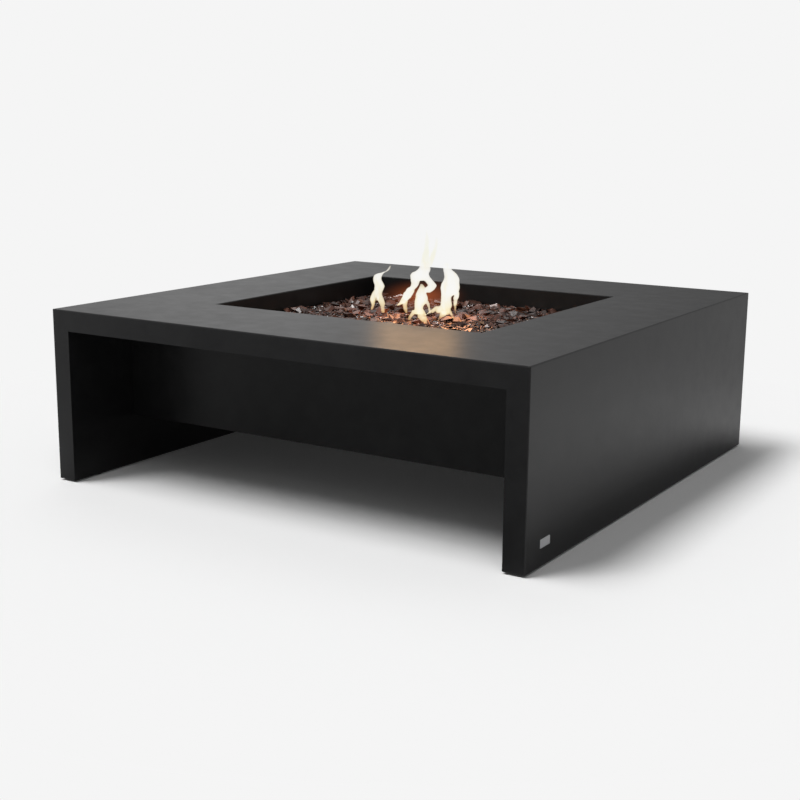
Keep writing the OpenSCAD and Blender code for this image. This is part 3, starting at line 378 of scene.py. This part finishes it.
def flame_gas():
    """Glowing gas. It is thick enough to hide what is behind it, and warm where it thins out at its rim.

    By the height from the foot: the colour of its light, how well it holds back each colour from behind,
    and how much gas there is.
    """
    s = Shader("flame_gas")
    s.tree.nodes.remove(s.bsdf)
    rise = s.spread(s.parts_of_place()["Z"], FLAME_FOOT, FLAME_FOOT + FLAME_HEIGHT, 0.0, 1.0)
    colour = s.ramp(
        rise,
        (0.00, (1.00, 0.82, 0.56)),
        (0.08, (1.00, 0.96, 0.82)),
        (0.18, (0.95, 0.94, 0.90)),
        (0.66, (0.93, 0.93, 0.92)),
        (0.86, (0.88, 0.87, 0.70)),
    )
    hold = s.ramp(
        rise,
        (0.00, (1.00, 0.64, 0.38)),
        (0.14, (1.00, 0.72, 0.42)),
        (0.36, (1.00, 0.87, 0.66)),
        (0.66, (1.00, 0.95, 0.86)),
        (0.86, (0.60, 0.58, 0.70)),
    )
    amount = s.profile(rise, ((0.00, 0.50), (0.14, 1.00), (0.60, 0.80), (0.80, 0.50), (1.00, 0.25)))
    streaks = s.noise(70.0, rough=0.6, place=s.stretched((1.0, 1.0, 0.3)))
    veins = s.spread(streaks, 0.52, 0.68, 0.0, 0.75)
    colour = s.mix(veins, colour, s.times(colour, VEIN_COLOUR))
    billows = s.noise(45.0, detail=3.0, rough=0.6, place=s.stretched((1.0, 1.0, 0.35)))
    density = s.math("MULTIPLY", s.math("MULTIPLY", amount, s.by_noise(billows, 0.6, 1.4)), FLAME_DENSITY)
    veil = s.add("ShaderNodeVolumeAbsorption")
    s.link(s.mix(1.0, WHITE, hold, "SUBTRACT"), veil.inputs["Color"])
    s.link(density, veil.inputs["Density"])
    glow = s.add("ShaderNodeEmission")
    s.link(s.times(colour, hold), glow.inputs["Color"])
    s.link(density, glow.inputs["Strength"])
    both = s.add("ShaderNodeAddShader")
    s.link(glow.outputs[0], both.inputs[0])
    s.link(veil.outputs[0], both.inputs[1])
    s.link(both.outputs[0], s.output.inputs["Volume"])
    return s.material


def painted_red_glow():
    """A painted dull red glow behind and between the flames, strongest in the middle of its ball."""
    s = Shader("painted_red_glow")
    s.tree.nodes.remove(s.bsdf)
    near = s.spread(s.distance(), 0.0, 1.0, 1.0, 0.0)
    glow = s.add("ShaderNodeEmission")
    glow.inputs["Color"].default_value = (*PAINTED_GLOW_COLOUR, 1.0)
    s.link(s.math("MULTIPLY", s.math("MULTIPLY", near, near), PAINTED_GLOW_STRENGTH), glow.inputs["Strength"])
    s.link(glow.outputs[0], s.output.inputs["Volume"])
    return s.material


BRASS = turned("brass", (0.50, 0.33, 0.11), (0.72, 0.52, 0.22))
FINISH = {
    "concrete": sealed_concrete(),
    "steel": brushed("brushed_steel", (0.42, 0.42, 0.43), (0.66, 0.66, 0.67), (9.0, 900.0, 900.0)),
    "dark_steel": painted_steel(),
    "zinc": turned("zinc_plate", (0.40, 0.41, 0.43), (0.62, 0.63, 0.64), (0.28, 0.46)),
    "brass": BRASS,
    "copper": turned("copper_tube", (0.52, 0.24, 0.14), (0.74, 0.40, 0.26)),
    "rubber": moulded("foot_rubber", grey(0.016), grey(0.026), (0.62, 0.85), 700.0),
    "black_plastic": moulded(
        "black_plastic", (0.014, 0.014, 0.015), (0.022, 0.022, 0.023), (0.30, 0.48), 900.0
    ),
    "lead_sleeve": moulded("lead_sleeve", (0.22, 0.035, 0.025), (0.30, 0.055, 0.04), (0.35, 0.55), 800.0),
    "ceramic": moulded("ceramic", (0.66, 0.61, 0.53), (0.78, 0.74, 0.67), (0.22, 0.40), 500.0),
    "gasket": woven_fibre(),
    "stones": packed_stone(),
}


def finish_nodes():
    """Every node of the frame takes the finish of its own slot."""
    for part in SUBPARTS:
        obj = NODES[part["node"]]
        for holder in obj.material_slots:
            holder.material = FINISH[part["material_slot"]]


def round_leads():
    """The two leads are swept with few sides; one subdivision rounds them."""
    for name in ("ignition_lead", "thermo_lead"):
        rounding = NODES[name].modifiers.new("round", "SUBSURF")
        rounding.levels = 1
        rounding.render_levels = 1


def place_in_scene(obj):
    bpy.context.scene.collection.objects.link(obj)
    return obj


def new_piece(name, vertices, faces, material, body=None):
    """A mesh object at the origin of the frame, with one material, that rides a body if one is named."""
    mesh = bpy.data.meshes.new(name)
    mesh.from_pydata([tuple(v) for v in vertices], [], faces)
    mesh.materials.append(material)
    obj = place_in_scene(bpy.data.objects.new(name, mesh))
    if body:
        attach(obj, body)
    return obj


def tube_faces(rings, sides, start=0):
    """Faces of a closed tube whose rings of points follow each other: its walls, then its two ends."""
    faces = []
    for ring in range(rings - 1):
        near = start + ring * sides
        far = near + sides
        for k in range(sides):
            after = (k + 1) % sides
            faces.append([near + k, near + after, far + after, far + k])
    last = start + (rings - 1) * sides
    faces.append(list(range(start, start + sides))[::-1])
    faces.append(list(range(last, last + sides)))
    return faces


# Loose stones: broken chips, each dropped on those that lie there already.
# A chip is a hull of points about an ellipsoid, whose length is in millimetres and whose width and
# thickness are shares of it.
STONE_SEED = 4211
CHIP_KINDS = 40
CHIP_POINTS, CHIP_REACH = (8, 12), (0.86, 1.14)
CHIP_LENGTH, CHIP_WIDTH, CHIP_THICK = (36, 66), (0.50, 0.85), (0.30, 0.48)
CHIP_TILT, CHIP_SCALE = 0.42, (0.8, 1.15)
# The packed layer's pitch and play, the number of chips scattered over it, and how far these keep from the
# far corner: 1 would spread them evenly.
FIRST_PITCH, FIRST_PLAY, LATER_CHIPS, LEAN = 30.0 * MM, (0.2, 0.8), 300, 1.35
# The small chips in the gaps: their size as a share of a whole one, and how high they may stand.
SMALL_CHIP, FILL_RISE = (0.22, 0.5), 14 * MM
WALL_GAP = 0.6 * MM
# The cells of the height map, and the least flat area that a facet needs to count in it.
CELL, LEAST_AREA = 1.5 * MM, 1e-12


def chip_kinds(rng):
    """Convex chips about the origin: (corners in metres, triangles)."""
    kinds = []
    for _ in range(CHIP_KINDS):
        length = rng.uniform(*CHIP_LENGTH) * MM
        size = Vector((length, length * rng.uniform(*CHIP_WIDTH), length * rng.uniform(*CHIP_THICK))) / 2
        mesh = bmesh.new()
        for _ in range(rng.randint(*CHIP_POINTS)):
            way = Vector([rng.gauss(0, 1) for _ in range(3)]).normalized()
            reach = rng.uniform(*CHIP_REACH)
            mesh.verts.new([w * s * reach for w, s in zip(way, size)])
        bmesh.ops.convex_hull(mesh, input=mesh.verts)
        spare = [v for v in mesh.verts if not v.link_faces]
        bmesh.ops.delete(mesh, geom=spare, context="VERTS")
        bmesh.ops.recalc_face_normals(mesh, faces=mesh.faces)
        mesh.verts.index_update()
        corners = np.array([v.co for v in mesh.verts])
        triangles = np.array([[v.index for v in face.verts] for face in mesh.faces])
        kinds.append((corners, triangles))
        mesh.free()
    return kinds


class Heap:
    """A height map of the stones so far, and the mesh that they add up to."""

    def __init__(self, low, high, level):
        self.low, self.high = np.array(low), np.array(high)
        cells = np.ceil((self.high - self.low) / CELL).astype(int) + 1
        self.height = np.full(cells, level)
        self.corners, self.faces, self.count = [], [], 0

    def envelope(self, corners, faces, points):
        """The chip's underside and top over each point; points off the chip have the underside higher."""
        a, b, c = (corners[faces[:, i]] for i in range(3))
        normal = np.cross(b - a, c - a)
        upright = np.abs(normal[:, 2]) < LEAST_AREA
        normal, a = normal[~upright], a[~upright]
        offset = (normal * a).sum(1)
        z = (offset[:, None] - normal[:, :2] @ points.T) / normal[:, 2:3]
        down = normal[:, 2] < 0
        return z[down].max(0), z[~down].min(0)

    def drop(self, corners, faces, ceiling):
        """Lets a chip down until it touches, unless it would then stand above the ceiling."""
        low, high = corners[:, :2].min(0), corners[:, :2].max(0)
        shift = np.maximum(self.low + WALL_GAP - low, 0) - np.maximum(high - self.high + WALL_GAP, 0)
        corners = corners + [*shift, 0]
        low, high = low + shift, high + shift
        first = np.floor((low - self.low) / CELL).astype(int)
        last = np.ceil((high - self.low) / CELL).astype(int) + 1
        part = self.height[first[0] : last[0], first[1] : last[1]]
        columns, rows = (np.arange(start, start + count) for start, count in zip(first, part.shape))
        grid = np.stack(np.meshgrid(columns, rows, indexing="ij"), -1)
        under, over = self.envelope(corners, faces, (grid * CELL + self.low).reshape(-1, 2))
        covered = under <= over
        if not covered.any():
            return
        rise = (part.reshape(-1)[covered] - under[covered]).max()
        if (over[covered] + rise).max() > ceiling:
            return
        flat = part.reshape(-1).copy()
        flat[covered] = over[covered] + rise
        part[:] = flat.reshape(part.shape)
        self.corners.append(corners + [0, 0, rise])
        self.faces.append(faces + self.count)
        self.count += len(corners)


def turned_chip(rng, corners, place):
    """A copy of a chip at a random turn, lying mostly flat, over a place."""
    about_x, about_y = (Matrix.Rotation(rng.gauss(0, CHIP_TILT), 3, axis) for axis in "XY")
    tilt = about_x @ about_y
    turn = Matrix.Rotation(rng.uniform(0, math.tau), 3, "Z") @ tilt
    return corners @ np.array(turn).T * rng.uniform(*CHIP_SCALE) + [*place, 0]


def drop_chip(heap, kinds, rng, place, ceiling, shares=None):
    """Drops a chip of a random kind over a place; shares is the range of sizes for a small one."""
    corners, faces = rng.choice(kinds)
    if shares:
        corners = corners * rng.uniform(*shares)
    heap.drop(turned_chip(rng, corners, place), faces, ceiling)


def packed_layer(heap, kinds, rng):
    """Chips side by side from wall to wall, in rows that are set off by half a pitch."""
    across, along = (int((high - low) / FIRST_PITCH) for low, high in zip(heap.low, heap.high))
    places = [(i + 0.5 * (j % 2), j) for i in range(across) for j in range(along)]
    rng.shuffle(places)
    for spot in places:
        play = [rng.uniform(*FIRST_PLAY) for _ in range(2)]
        drop_chip(heap, kinds, rng, heap.low + FIRST_PITCH * (np.array(spot) + play), STONE_HIGH.z)


def scattered_chips(heap, kinds, rng):
    """Chips on top of the layer, fewer towards the far corner."""
    for _ in range(LATER_CHIPS):
        place = [low + (high - low) * rng.random() ** LEAN for low, high in zip(heap.low, heap.high)]
        drop_chip(heap, kinds, rng, place, STONE_HIGH.z)


def filled_gaps(heap, kinds, rng):
    """Small chips, low between the others, wherever the layer below still shows."""
    bare = np.argwhere(heap.height <= BED_TOP).tolist()
    rng.shuffle(bare)
    for cell in bare:
        if heap.height[tuple(cell)] <= BED_TOP:
            drop_chip(heap, kinds, rng, heap.low + np.array(cell) * CELL, BED_TOP + FILL_RISE, SMALL_CHIP)


def loose_stones():
    """The bed of separate chips that takes the place of the plain top stones."""
    rng = random.Random(STONE_SEED)
    kinds = chip_kinds(rng)
    heap = Heap(STONE_LOW.xy, STONE_HIGH.xy, BED_TOP)
    packed_layer(heap, kinds, rng)
    scattered_chips(heap, kinds, rng)
    filled_gaps(heap, kinds, rng)
    stones = new_piece(
        "loose_stones",
        np.concatenate(heap.corners),
        np.concatenate(heap.faces).tolist(),
        glassy_stone(),
        TABLE,
    )
    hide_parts("top_stones")
    return stones


CORNER_STEPS = 6


def rounded_outline(width, height, radius):
    """Points of a rounded rectangle about the origin, anticlockwise."""
    points = []
    for turn, (side, end) in enumerate(((1, 1), (-1, 1), (-1, -1), (1, -1))):
        middle = Vector((side * (width / 2 - radius), end * (height / 2 - radius)))
        for k in range(CORNER_STEPS + 1):
            angle = math.pi / 2 * (turn + k / CORNER_STEPS)
            points.append(middle + radius * Vector((math.cos(angle), math.sin(angle))))
    return points


def raised_plate(name, outline, thick, edge, place, material, body):
    """A thin plate with a chamfered rim; place maps (across, up, out) to the frame."""
    inset = [point - point.normalized() * edge for point in outline]
    rings = [(outline, 0.0), (outline, thick - edge), (inset, thick)]
    vertices = [place(x, y, out) for ring, out in rings for x, y in ring]
    return new_piece(name, vertices, tube_faces(len(rings), len(outline)), material, body)


# The small blank plate low on the right leg.
PLATE_WIDTH, PLATE_HEIGHT, PLATE_THICK = 42 * MM, 18 * MM, 1.6 * MM
PLATE_CORNER, PLATE_EDGE = 1.2 * MM, 0.4 * MM
PLATE_FROM_FRONT, PLATE_UP = 83.5 * MM, 53 * MM
PLATE_BRUSH, PLATE_ROUGH = (900.0, 12.0, 1100.0), (0.54, 0.70)


def side_plate():
    middle = Vector((LEG_FACE, LEG_FRONT + PLATE_FROM_FRONT, PLATE_UP))
    return raised_plate(
        "side_plate",
        rounded_outline(PLATE_WIDTH, PLATE_HEIGHT, PLATE_CORNER),
        PLATE_THICK,
        PLATE_EDGE,
        lambda x, y, out: middle + Vector((out, x, y)),
        brushed("plate_steel", (0.64, 0.64, 0.65), (0.75, 0.75, 0.76), PLATE_BRUSH, PLATE_ROUGH),
        TABLE,
    )


# Flames: each tongue is a line of points (aside, behind, rise, radius) in millimetres from the burner's
# middle, with aside and behind as the camera sees them.
FLAMES = {
    "left": [
        [(-94, 38, 4, 4), (-95, 45, 14, 5), (-97, 53, 25, 7), (-101, 60, 35, 9), (-106, 70, 48, 9),
         (-105, 74, 61, 12), (-104, 74, 69, 13), (-110, 74, 84, 11), (-106, 74, 97, 10), (-89, 74, 105, 4),
         (-81, 74, 111, 3), (-76, 74, 120, 2)],
        [(-125, 93, 3, 2), (-121, 90, 14, 4), (-121, 88, 24, 6), (-121, 84, 35, 8), (-118, 78, 46, 7),
         (-110, 74, 59, 6)],
        [(-110, 72, 30, 4), (-109, 72, 40, 6), (-107, 72, 50, 6)],
    ],
    "middle": [
        [(-2, -60, 101, 18), (-3, -60, 109, 23), (-1, -60, 118, 21), (8, -60, 128, 15), (10, -60, 146, 11),
         (13, -60, 180, 6), (14, -60, 203, 5), (12, -60, 223, 2)],
        [(17, -60, 134, 8), (26, -60, 152, 7), (33, -60, 172, 6), (37, -60, 190, 4), (37, -60, 207, 2)],
        [(-60, 103, 13, 2), (-53, 90, 18, 5), (-44, 70, 27, 9), (-39, 45, 38, 10), (-33, 20, 49, 12),
         (-29, 0, 61, 12), (-24, -20, 72, 11), (-16, -42, 84, 9), (-14, -50, 92, 10), (-13, -56, 98, 12),
         (-11, -60, 106, 15)],
        [(-35, 53, 1, 3), (-37, 58, 11, 5), (-38, 60, 21, 6), (-39, 60, 31, 8)],
        [(12, -60, 70, 12), (20, -60, 78, 13), (28, -60, 87, 11), (23, -60, 95, 11), (16, -60, 102, 12),
         (9, -60, 108, 14), (4, -60, 114, 16)],
        [(-4, -60, 16, 11), (-4, -60, 29, 11), (-3, -60, 37, 12), (0, -60, 45, 15), (2, -60, 54, 16),
         (2, -60, 62, 15), (2, -60, 70, 12), (3, -60, 79, 9), (2, -60, 91, 3)],
        [(-28, -70, 2, 3), (-25, -68, 10, 5), (-20, -66, 17, 6), (-14, -62, 26, 7)],
        [(14, -118, 2, 2), (8, -106, 7, 8), (4, -92, 12, 11), (3, -74, 18, 11), (-2, -60, 28, 10)],
        [(24, -60, 18, 2), (21, -60, 32, 3), (17, -60, 43, 4), (11, -60, 51, 6)],
    ],
    "right": [
        [(62, -40, 12, 9), (63, -40, 26, 12), (64, -40, 34, 14), (64, -40, 57, 14), (72, -40, 66, 21),
         (73, -40, 78, 24), (74, -40, 90, 22), (76, -40, 99, 20), (76, -40, 107, 18), (72, -40, 115, 15),
         (67, -40, 123, 12), (63, -40, 131, 9), (62, -40, 141, 5)],
        [(92, 72, -2, 2), (91, 62, 10, 3), (90, 48, 21, 4), (89, 28, 32, 5), (89, 8, 44, 6),
         (90, -12, 57, 7), (88, -30, 71, 8)],
        [(10, 12, 2, 2), (17, -20, 10, 3), (25, -38, 19, 4), (33, -40, 26, 3)],
        [(30, -40, 16, 3), (36, -40, 25, 7), (42, -40, 33, 5)],
        [(44, -40, 16, 5), (49, -40, 24, 11), (54, -40, 34, 6)],
        [(42, -84, 2, 2), (49, -70, 9, 5), (56, -60, 15, 9), (60, -46, 23, 10)],
        [(83, -62, 4, 2), (77, -54, 14, 4), (72, -48, 21, 6), (67, -40, 28, 9)],
    ],
}
# A ring's points, the steps from row to row, a ring's depth as a share of its width, and its least radius.
FLAME_SIDES, FLAME_STEPS, FLAME_DEPTH, FLAME_LEAST = 16, 5, 0.8, 0.3
FLAME_VOXEL, FLAME_SMOOTHING = 1.2 * MM, 5
FLAME_WAVE, FLAME_WAVE_LENGTH = 3.5 * MM, 16 * MM
# The middle of the painted glow and its half widths, measured like the flames.
PAINTED_GLOW_PLACE, PAINTED_GLOW_SIZE = (6, 80, 42), (132, 60, 50)
FLAME_TURN = math.radians(CAMERA_AZIMUTH)
FLAME_ASIDE = Vector((math.cos(FLAME_TURN), math.sin(FLAME_TURN), 0))
FLAME_BEHIND = Vector((-FLAME_ASIDE.y, FLAME_ASIDE.x, 0))
UP = Vector((0, 0, 1))


def by_burner(aside, behind, rise):
    """A point so many millimetres aside of, behind and above the burner's middle."""
    return (FLAME_ASIDE * aside + FLAME_BEHIND * behind) * MM + UP * (FLAME_FOOT + rise * MM)


def curve_through(points, steps):
    """More points on a smooth curve through those given."""
    padded = [2 * points[0] - points[1], *points, 2 * points[-1] - points[-2]]
    out = []
    for a, b, c, d in zip(padded, padded[1:], padded[2:], padded[3:]):
        bend = 2 * a - 5 * b + 4 * c - d
        twist = 3 * b - a - 3 * c + d
        for k in range(steps):
            t = k / steps
            out.append(0.5 * (2 * b + (c - a) * t + bend * t * t + twist * t ** 3))
    return [*out, points[-1]]


def tongue(rows):
    """The points of level rings along one tongue of flame."""
    points = []
    for row in curve_through([Vector(row) for row in rows], FLAME_STEPS):
        middle = by_burner(*row[:3])
        reach = max(row[3], FLAME_LEAST) * MM
        for k in range(FLAME_SIDES):
            angle = math.tau * k / FLAME_SIDES
            aside = FLAME_ASIDE * reach * math.cos(angle)
            behind = FLAME_BEHIND * reach * FLAME_DEPTH * math.sin(angle)
            points.append(middle + aside + behind)
    return points


def lit_gas(name, vertices, faces, material):
    """Burning gas is no piece of the table, so it is stage; it casts no light or shadow of its own."""
    obj = new_piece(name, vertices, faces, material)
    obj.visible_diffuse = obj.visible_glossy = obj.visible_shadow = False
    return obj


def one_skin(flame):
    """Joins the tongues of a flame into one smooth skin and lets it waver."""
    join = flame.modifiers.new("join", "REMESH")
    join.mode = "VOXEL"
    join.voxel_size = FLAME_VOXEL
    soften = flame.modifiers.new("soften", "SMOOTH")
    soften.iterations = FLAME_SMOOTHING
    waver = flame.modifiers.new("waver", "DISPLACE")
    waver.texture = bpy.data.textures.new("waver", "CLOUDS")
    waver.texture.noise_scale = FLAME_WAVE_LENGTH
    waver.strength = FLAME_WAVE
    waver.texture_coords = "GLOBAL"


def flames():
    gas = flame_gas()
    for name, tongues in FLAMES.items():
        vertices, faces = [], []
        for rows in tongues:
            points = tongue(rows)
            faces += tube_faces(len(points) // FLAME_SIDES, FLAME_SIDES, len(vertices))
            vertices += points
        one_skin(lit_gas(f"flame_{name}", vertices, faces, gas))


def glow_ball():
    """The painted red glow behind the flames: a ball that is set to its size and turned to their row."""
    ball = bmesh.new()
    bmesh.ops.create_icosphere(ball, subdivisions=4, radius=1.0)
    ball.verts.index_update()
    vertices = [v.co.copy() for v in ball.verts]
    faces = [[v.index for v in face.verts] for face in ball.faces]
    ball.free()
    obj = lit_gas("painted_red_glow", vertices, faces, painted_red_glow())
    sides = [way * size * MM for way, size in zip((FLAME_ASIDE, FLAME_BEHIND, UP), PAINTED_GLOW_SIZE)]
    obj.matrix_world = Matrix.Translation(by_burner(*PAINTED_GLOW_PLACE)) @ Matrix(sides).transposed().to_4x4()


# Their light: a row of lamps near the height of the tallest tip, and low red ones among the stones.
FLAME_ROW = ((-90, 60), (-50, 10), (-10, -50), (32, -50), (72, -30))
FLAME_RISE, FLAME_WATTS, FLAME_COLOUR = 200, 0.135, (1.0, 0.56, 0.22)
EMBER_ROW = ((-105, 50), (-66, 50), (0, -70), (70, 0), (112, 20))
EMBER_RISE, EMBER_WATTS, EMBER_COLOUR = 36, 0.18, (1.0, 0.38, 0.14)
FLAME_LAMP_RADIUS = 30 * MM


def flame_lamp(name, aside, behind, rise, watts, colour):
    light = bpy.data.lights.new(name, "POINT")
    light.energy = watts
    light.color = colour
    light.shadow_soft_size = FLAME_LAMP_RADIUS
    obj = bpy.data.objects.new(name, light)
    obj.location = by_burner(aside, behind, rise)
    obj.visible_camera = False
    return place_in_scene(obj)


def flame_lamps(stones):
    """The lamps among the stones light the stones alone."""
    bed = linked("stone_bed", [stones])
    for k, place in enumerate(FLAME_ROW):
        flame_lamp(f"flame_lamp_{k}", *place, FLAME_RISE, FLAME_WATTS, FLAME_COLOUR)
    for k, place in enumerate(EMBER_ROW):
        ember = flame_lamp(f"ember_lamp_{k}", *place, EMBER_RISE, EMBER_WATTS, EMBER_COLOUR)
        ember.light_linking.receiver_collection = bed


# The knob's pointer: the groove that it fills, its play in it, how far it stays below the face, and its
# edge and corners.
GROOVE_WIDE, GROOVE_DEPTH, KNOB_CHAMFER = 3 * MM, 1 * MM, 3 * MM
INLAY_PLAY, INLAY_SINK, INLAY_EDGE, INLAY_CORNER = 0.2 * MM, 0.1 * MM, 0.1 * MM, 0.2


def knob_pointer():
    """The pale inlay that fills the groove in the knob's face, from its middle to its rim."""
    low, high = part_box("control_knob")
    middle = (low + high) / 2
    long = (high.x - low.x) / 2 - KNOB_CHAMFER
    wide = GROOVE_WIDE - INLAY_PLAY
    groove_floor = high.y - GROOVE_DEPTH
    return raised_plate(
        "knob_pointer",
        rounded_outline(wide, long, wide * INLAY_CORNER),
        GROOVE_DEPTH - INLAY_SINK,
        INLAY_EDGE,
        lambda x, y, out: Vector((middle.x - x, groove_floor + out, middle.z + long / 2 + y)),
        moulded("pointer_paint", (0.62, 0.61, 0.58), (0.74, 0.73, 0.70), (0.35, 0.5), 900.0),
        KNOB,
    )


# The marks on the bezel: where they start and how long they are, as shares of its radius, and how wide they
# are. A length or width is that of the first mark and what each next one adds.
MARKS, MARK_THICK = 9, 0.15 * MM
MARK_START, MARK_LONG, MARK_WIDE = 0.80, (0.06, 0.012), (0.9 * MM, 0.12 * MM)


def bezel_marks():
    """Painted strokes round the knob, from a short one where it is shut to a long one at full flame."""
    low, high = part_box("knob_bezel")
    middle = (low + high) / 2
    radius = (high.x - low.x) / 2
    inner = radius * MARK_START
    vertices, faces = [], []
    for k in range(MARKS):
        angle = math.pi * k / (MARKS - 1)
        way = Vector((math.sin(angle), 0, math.cos(angle)))
        side = Vector((math.cos(angle), 0, -math.sin(angle)))
        outer = inner + radius * (MARK_LONG[0] + MARK_LONG[1] * k)
        half = (MARK_WIDE[0] + MARK_WIDE[1] * k) / 2
        corners = ((inner, -half), (inner, half), (outer, half), (outer, -half))
        faces += tube_faces(2, len(corners), len(vertices))
        for out in (0.0, MARK_THICK):
            face = Vector((middle.x, high.y + out, middle.z))
            vertices += [face + way * reach + side * aside for reach, aside in corners]
    return new_piece(
        "bezel_marks",
        vertices,
        faces,
        moulded("mark_paint", grey(0.012), grey(0.02), (0.4, 0.55), 900.0),
        TABLE,
    )


# The inlet's thread: its size, its ridge's section as (pitches along, rises out), and the share of its
# length over which the ridge runs in and out.
THREAD_RADIUS, THREAD_LENGTH, THREAD_FROM_END = 7.95 * MM, 15 * MM, 0.8 * MM
THREAD_PITCH, THREAD_RISE, THREAD_STEPS = 1.8 * MM, 0.45 * MM, 28
THREAD_SECTION, THREAD_RUN_OUT = ((-0.45, -0.1), (0.0, 1.0), (0.45, -0.1)), 0.25


def inlet_thread():
    """The ridge of the gas inlet's thread, wound round its free end."""
    low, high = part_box("inlet_fitting")
    middle = (low + high) / 2
    count = int(THREAD_LENGTH / THREAD_PITCH * THREAD_STEPS)
    vertices = []
    for k in range(count + 1):
        angle = math.tau * k / THREAD_STEPS
        fade = min(1.0, k / count / THREAD_RUN_OUT, (count - k) / count / THREAD_RUN_OUT)
        for along, out in THREAD_SECTION:
            reach = THREAD_RADIUS + THREAD_RISE * (out * fade if out > 0 else out)
            y = high.y - THREAD_FROM_END - THREAD_LENGTH * k / count + along * THREAD_PITCH
            vertices.append((middle.x + reach * math.cos(angle), y, middle.z + reach * math.sin(angle)))
    faces = tube_faces(count + 1, len(THREAD_SECTION))
    return new_piece("inlet_thread", vertices, faces, BRASS, TABLE)


def seen_rays(s):
    """1 for rays from the camera, and 1 for these and all that come off a gloss or through glass."""
    path = s.add("ShaderNodeLightPath").outputs
    either = s.math("MAXIMUM", path["Is Camera Ray"], path["Is Glossy Ray"])
    return path["Is Camera Ray"], s.math("MAXIMUM", either, path["Is Transmission Ray"])


def choose(s, factor, first, second):
    """One shader where the factor is 0 and another where it is 1."""
    choice = s.add("ShaderNodeMixShader")
    s.link(factor, choice.inputs["Fac"])
    s.link(first.outputs[0], choice.inputs[1])
    s.link(second.outputs[0], choice.inputs[2])
    return choice.outputs[0]


def studio_world():
    """The camera sees it pale, a gloss sees the tones of a back wall, and as light it is dim."""
    world = bpy.data.worlds.new("studio")
    bpy.context.scene.world = world
    world.use_nodes = True
    world.node_tree.nodes.clear()
    s = Nodes(world.node_tree)
    camera_ray, seen = seen_rays(s)
    wall = s.profile(s.turn_about("-X", "+Y"), [(math.radians(angle), tone) for angle, tone in BACK_WALL])
    shown, given = (s.add("ShaderNodeBackground") for _ in range(2))
    s.link(s.mix(camera_ray, wall, grey(PALE)), shown.inputs["Color"])
    given.inputs["Color"].default_value = (*grey(AMBIENT), 1)
    s.link(choose(s, seen, given, shown), s.add("ShaderNodeOutputWorld").inputs["Surface"])


def floor_finish():
    """A pale sweep that keeps the shadow near the table and runs out into the background. Reflections see it
    in darker tones of painted shade, and near the table it has a faint painted glow.
    """
    s = Shader("pale_floor", Roughness=0.9, Specular_IOR_Level=0.1)
    camera_ray, seen = seen_rays(s)
    distance = s.distance()
    edges = [math.radians(angle) for angle in FRONT_EDGE]
    aside = s.spread(s.math("ABSOLUTE", s.turn_about("+X", "-Y"), 0.0), *edges, 0.0, 1.0)
    # Reflections see the floor darker than the camera does: painted shade, darkest in front and close to the
    # sides.
    painted_reflected_shade = s.mix(aside, s.profile(distance, FRONT_FLOOR_PAINTED_SHADE), s.profile(distance, SIDE_FLOOR_PAINTED_SHADE))
    tone = s.mix(camera_ray, painted_reflected_shade, WHITE)
    grain = s.tones(s.noise(30.0), grey(FLOOR_ALBEDO), grey(FLOOR_ALBEDO * FLOOR_GRAIN))
    s.paint("Base Color", s.mix(seen, grey(FLOOR_BOUNCE), s.times(grain, tone)))
    # Near the table a small share of the glow stays: painted light that lifts the floor's shadow.
    away = s.spread(distance, *FLOOR_FADE, FLOOR_PAINTED_LIFT, 1.0)
    glow = s.add("ShaderNodeEmission")
    s.link(s.times(tone, grey(PALE)), glow.inputs["Color"])
    s.link(choose(s, s.math("MULTIPLY", away, seen), s.bsdf, glow), s.output.inputs["Surface"])
    return s.material


def floor():
    half = FLOOR_SIZE / 2
    corners = [(-half, -half, 0), (half, -half, 0), (half, half, 0), (-half, half, 0)]
    new_piece("floor", corners, [[0, 1, 2, 3]], floor_finish())


def lamp(name, source, strength, width, lit):
    """A lamp so far off that its light is parallel, for the objects of one collection."""
    light = bpy.data.lights.new(name, "SUN")
    light.energy = strength
    light.angle = math.radians(width)
    obj = bpy.data.objects.new(name, light)
    obj.rotation_euler = source.to_track_quat("Z", "Y").to_euler()
    obj.light_linking.receiver_collection = lit
    return place_in_scene(obj)


def linked(name, objects, state="INCLUDE"):
    """A collection for lamps that light only these objects, or all but these."""
    group = bpy.data.collections.new(name)
    for obj in objects:
        group.objects.link(obj)
    for entry in group.collection_objects:
        entry.light_linking.link_state = state
    return group


def lamps():
    """Each lamp comes twice: the castings see it as a soft glow without a glint, and the rest with one."""
    castings = [NODES[part["node"]] for part in SUBPARTS if part["material_slot"] == "concrete"]
    only, others = linked("castings", castings), linked("others", castings, "EXCLUDE")
    for name, settings in LAMPS.items():
        lamp(name, *settings, others)
        lamp(f"{name}_soft", *settings, only).visible_glossy = False


def camera():
    """The camera, turned by its azimuth, elevation and roll."""
    azimuth, elevation, roll = (math.radians(a) for a in (CAMERA_AZIMUTH, CAMERA_ELEVATION, CAMERA_ROLL))
    level = math.cos(elevation)
    back = Vector((math.sin(azimuth) * level, -math.cos(azimuth) * level, math.sin(elevation)))
    right = Vector((math.cos(azimuth), math.sin(azimuth), 0))
    up = back.cross(right)
    right, up = right * math.cos(roll) + up * math.sin(roll), up * math.cos(roll) - right * math.sin(roll)
    data = bpy.data.cameras.new("camera")
    data.sensor_width, data.lens = SENSOR, LENS
    obj = place_in_scene(bpy.data.objects.new("camera", data))
    turn = Matrix((right, up, back)).transposed()
    obj.matrix_world = Matrix.Translation(CAMERA_PLACE) @ turn.to_4x4()
    bpy.context.scene.camera = obj


def main():
    bpy.context.scene.view_settings.view_transform = "Standard"
    camera()
    studio_world()
    floor()
    lamps()
    finish_nodes()
    round_leads()
    stones = loose_stones()
    side_plate()
    knob_pointer()
    bezel_marks()
    inlet_thread()
    flames()
    glow_ball()
    flame_lamps(stones)


main()
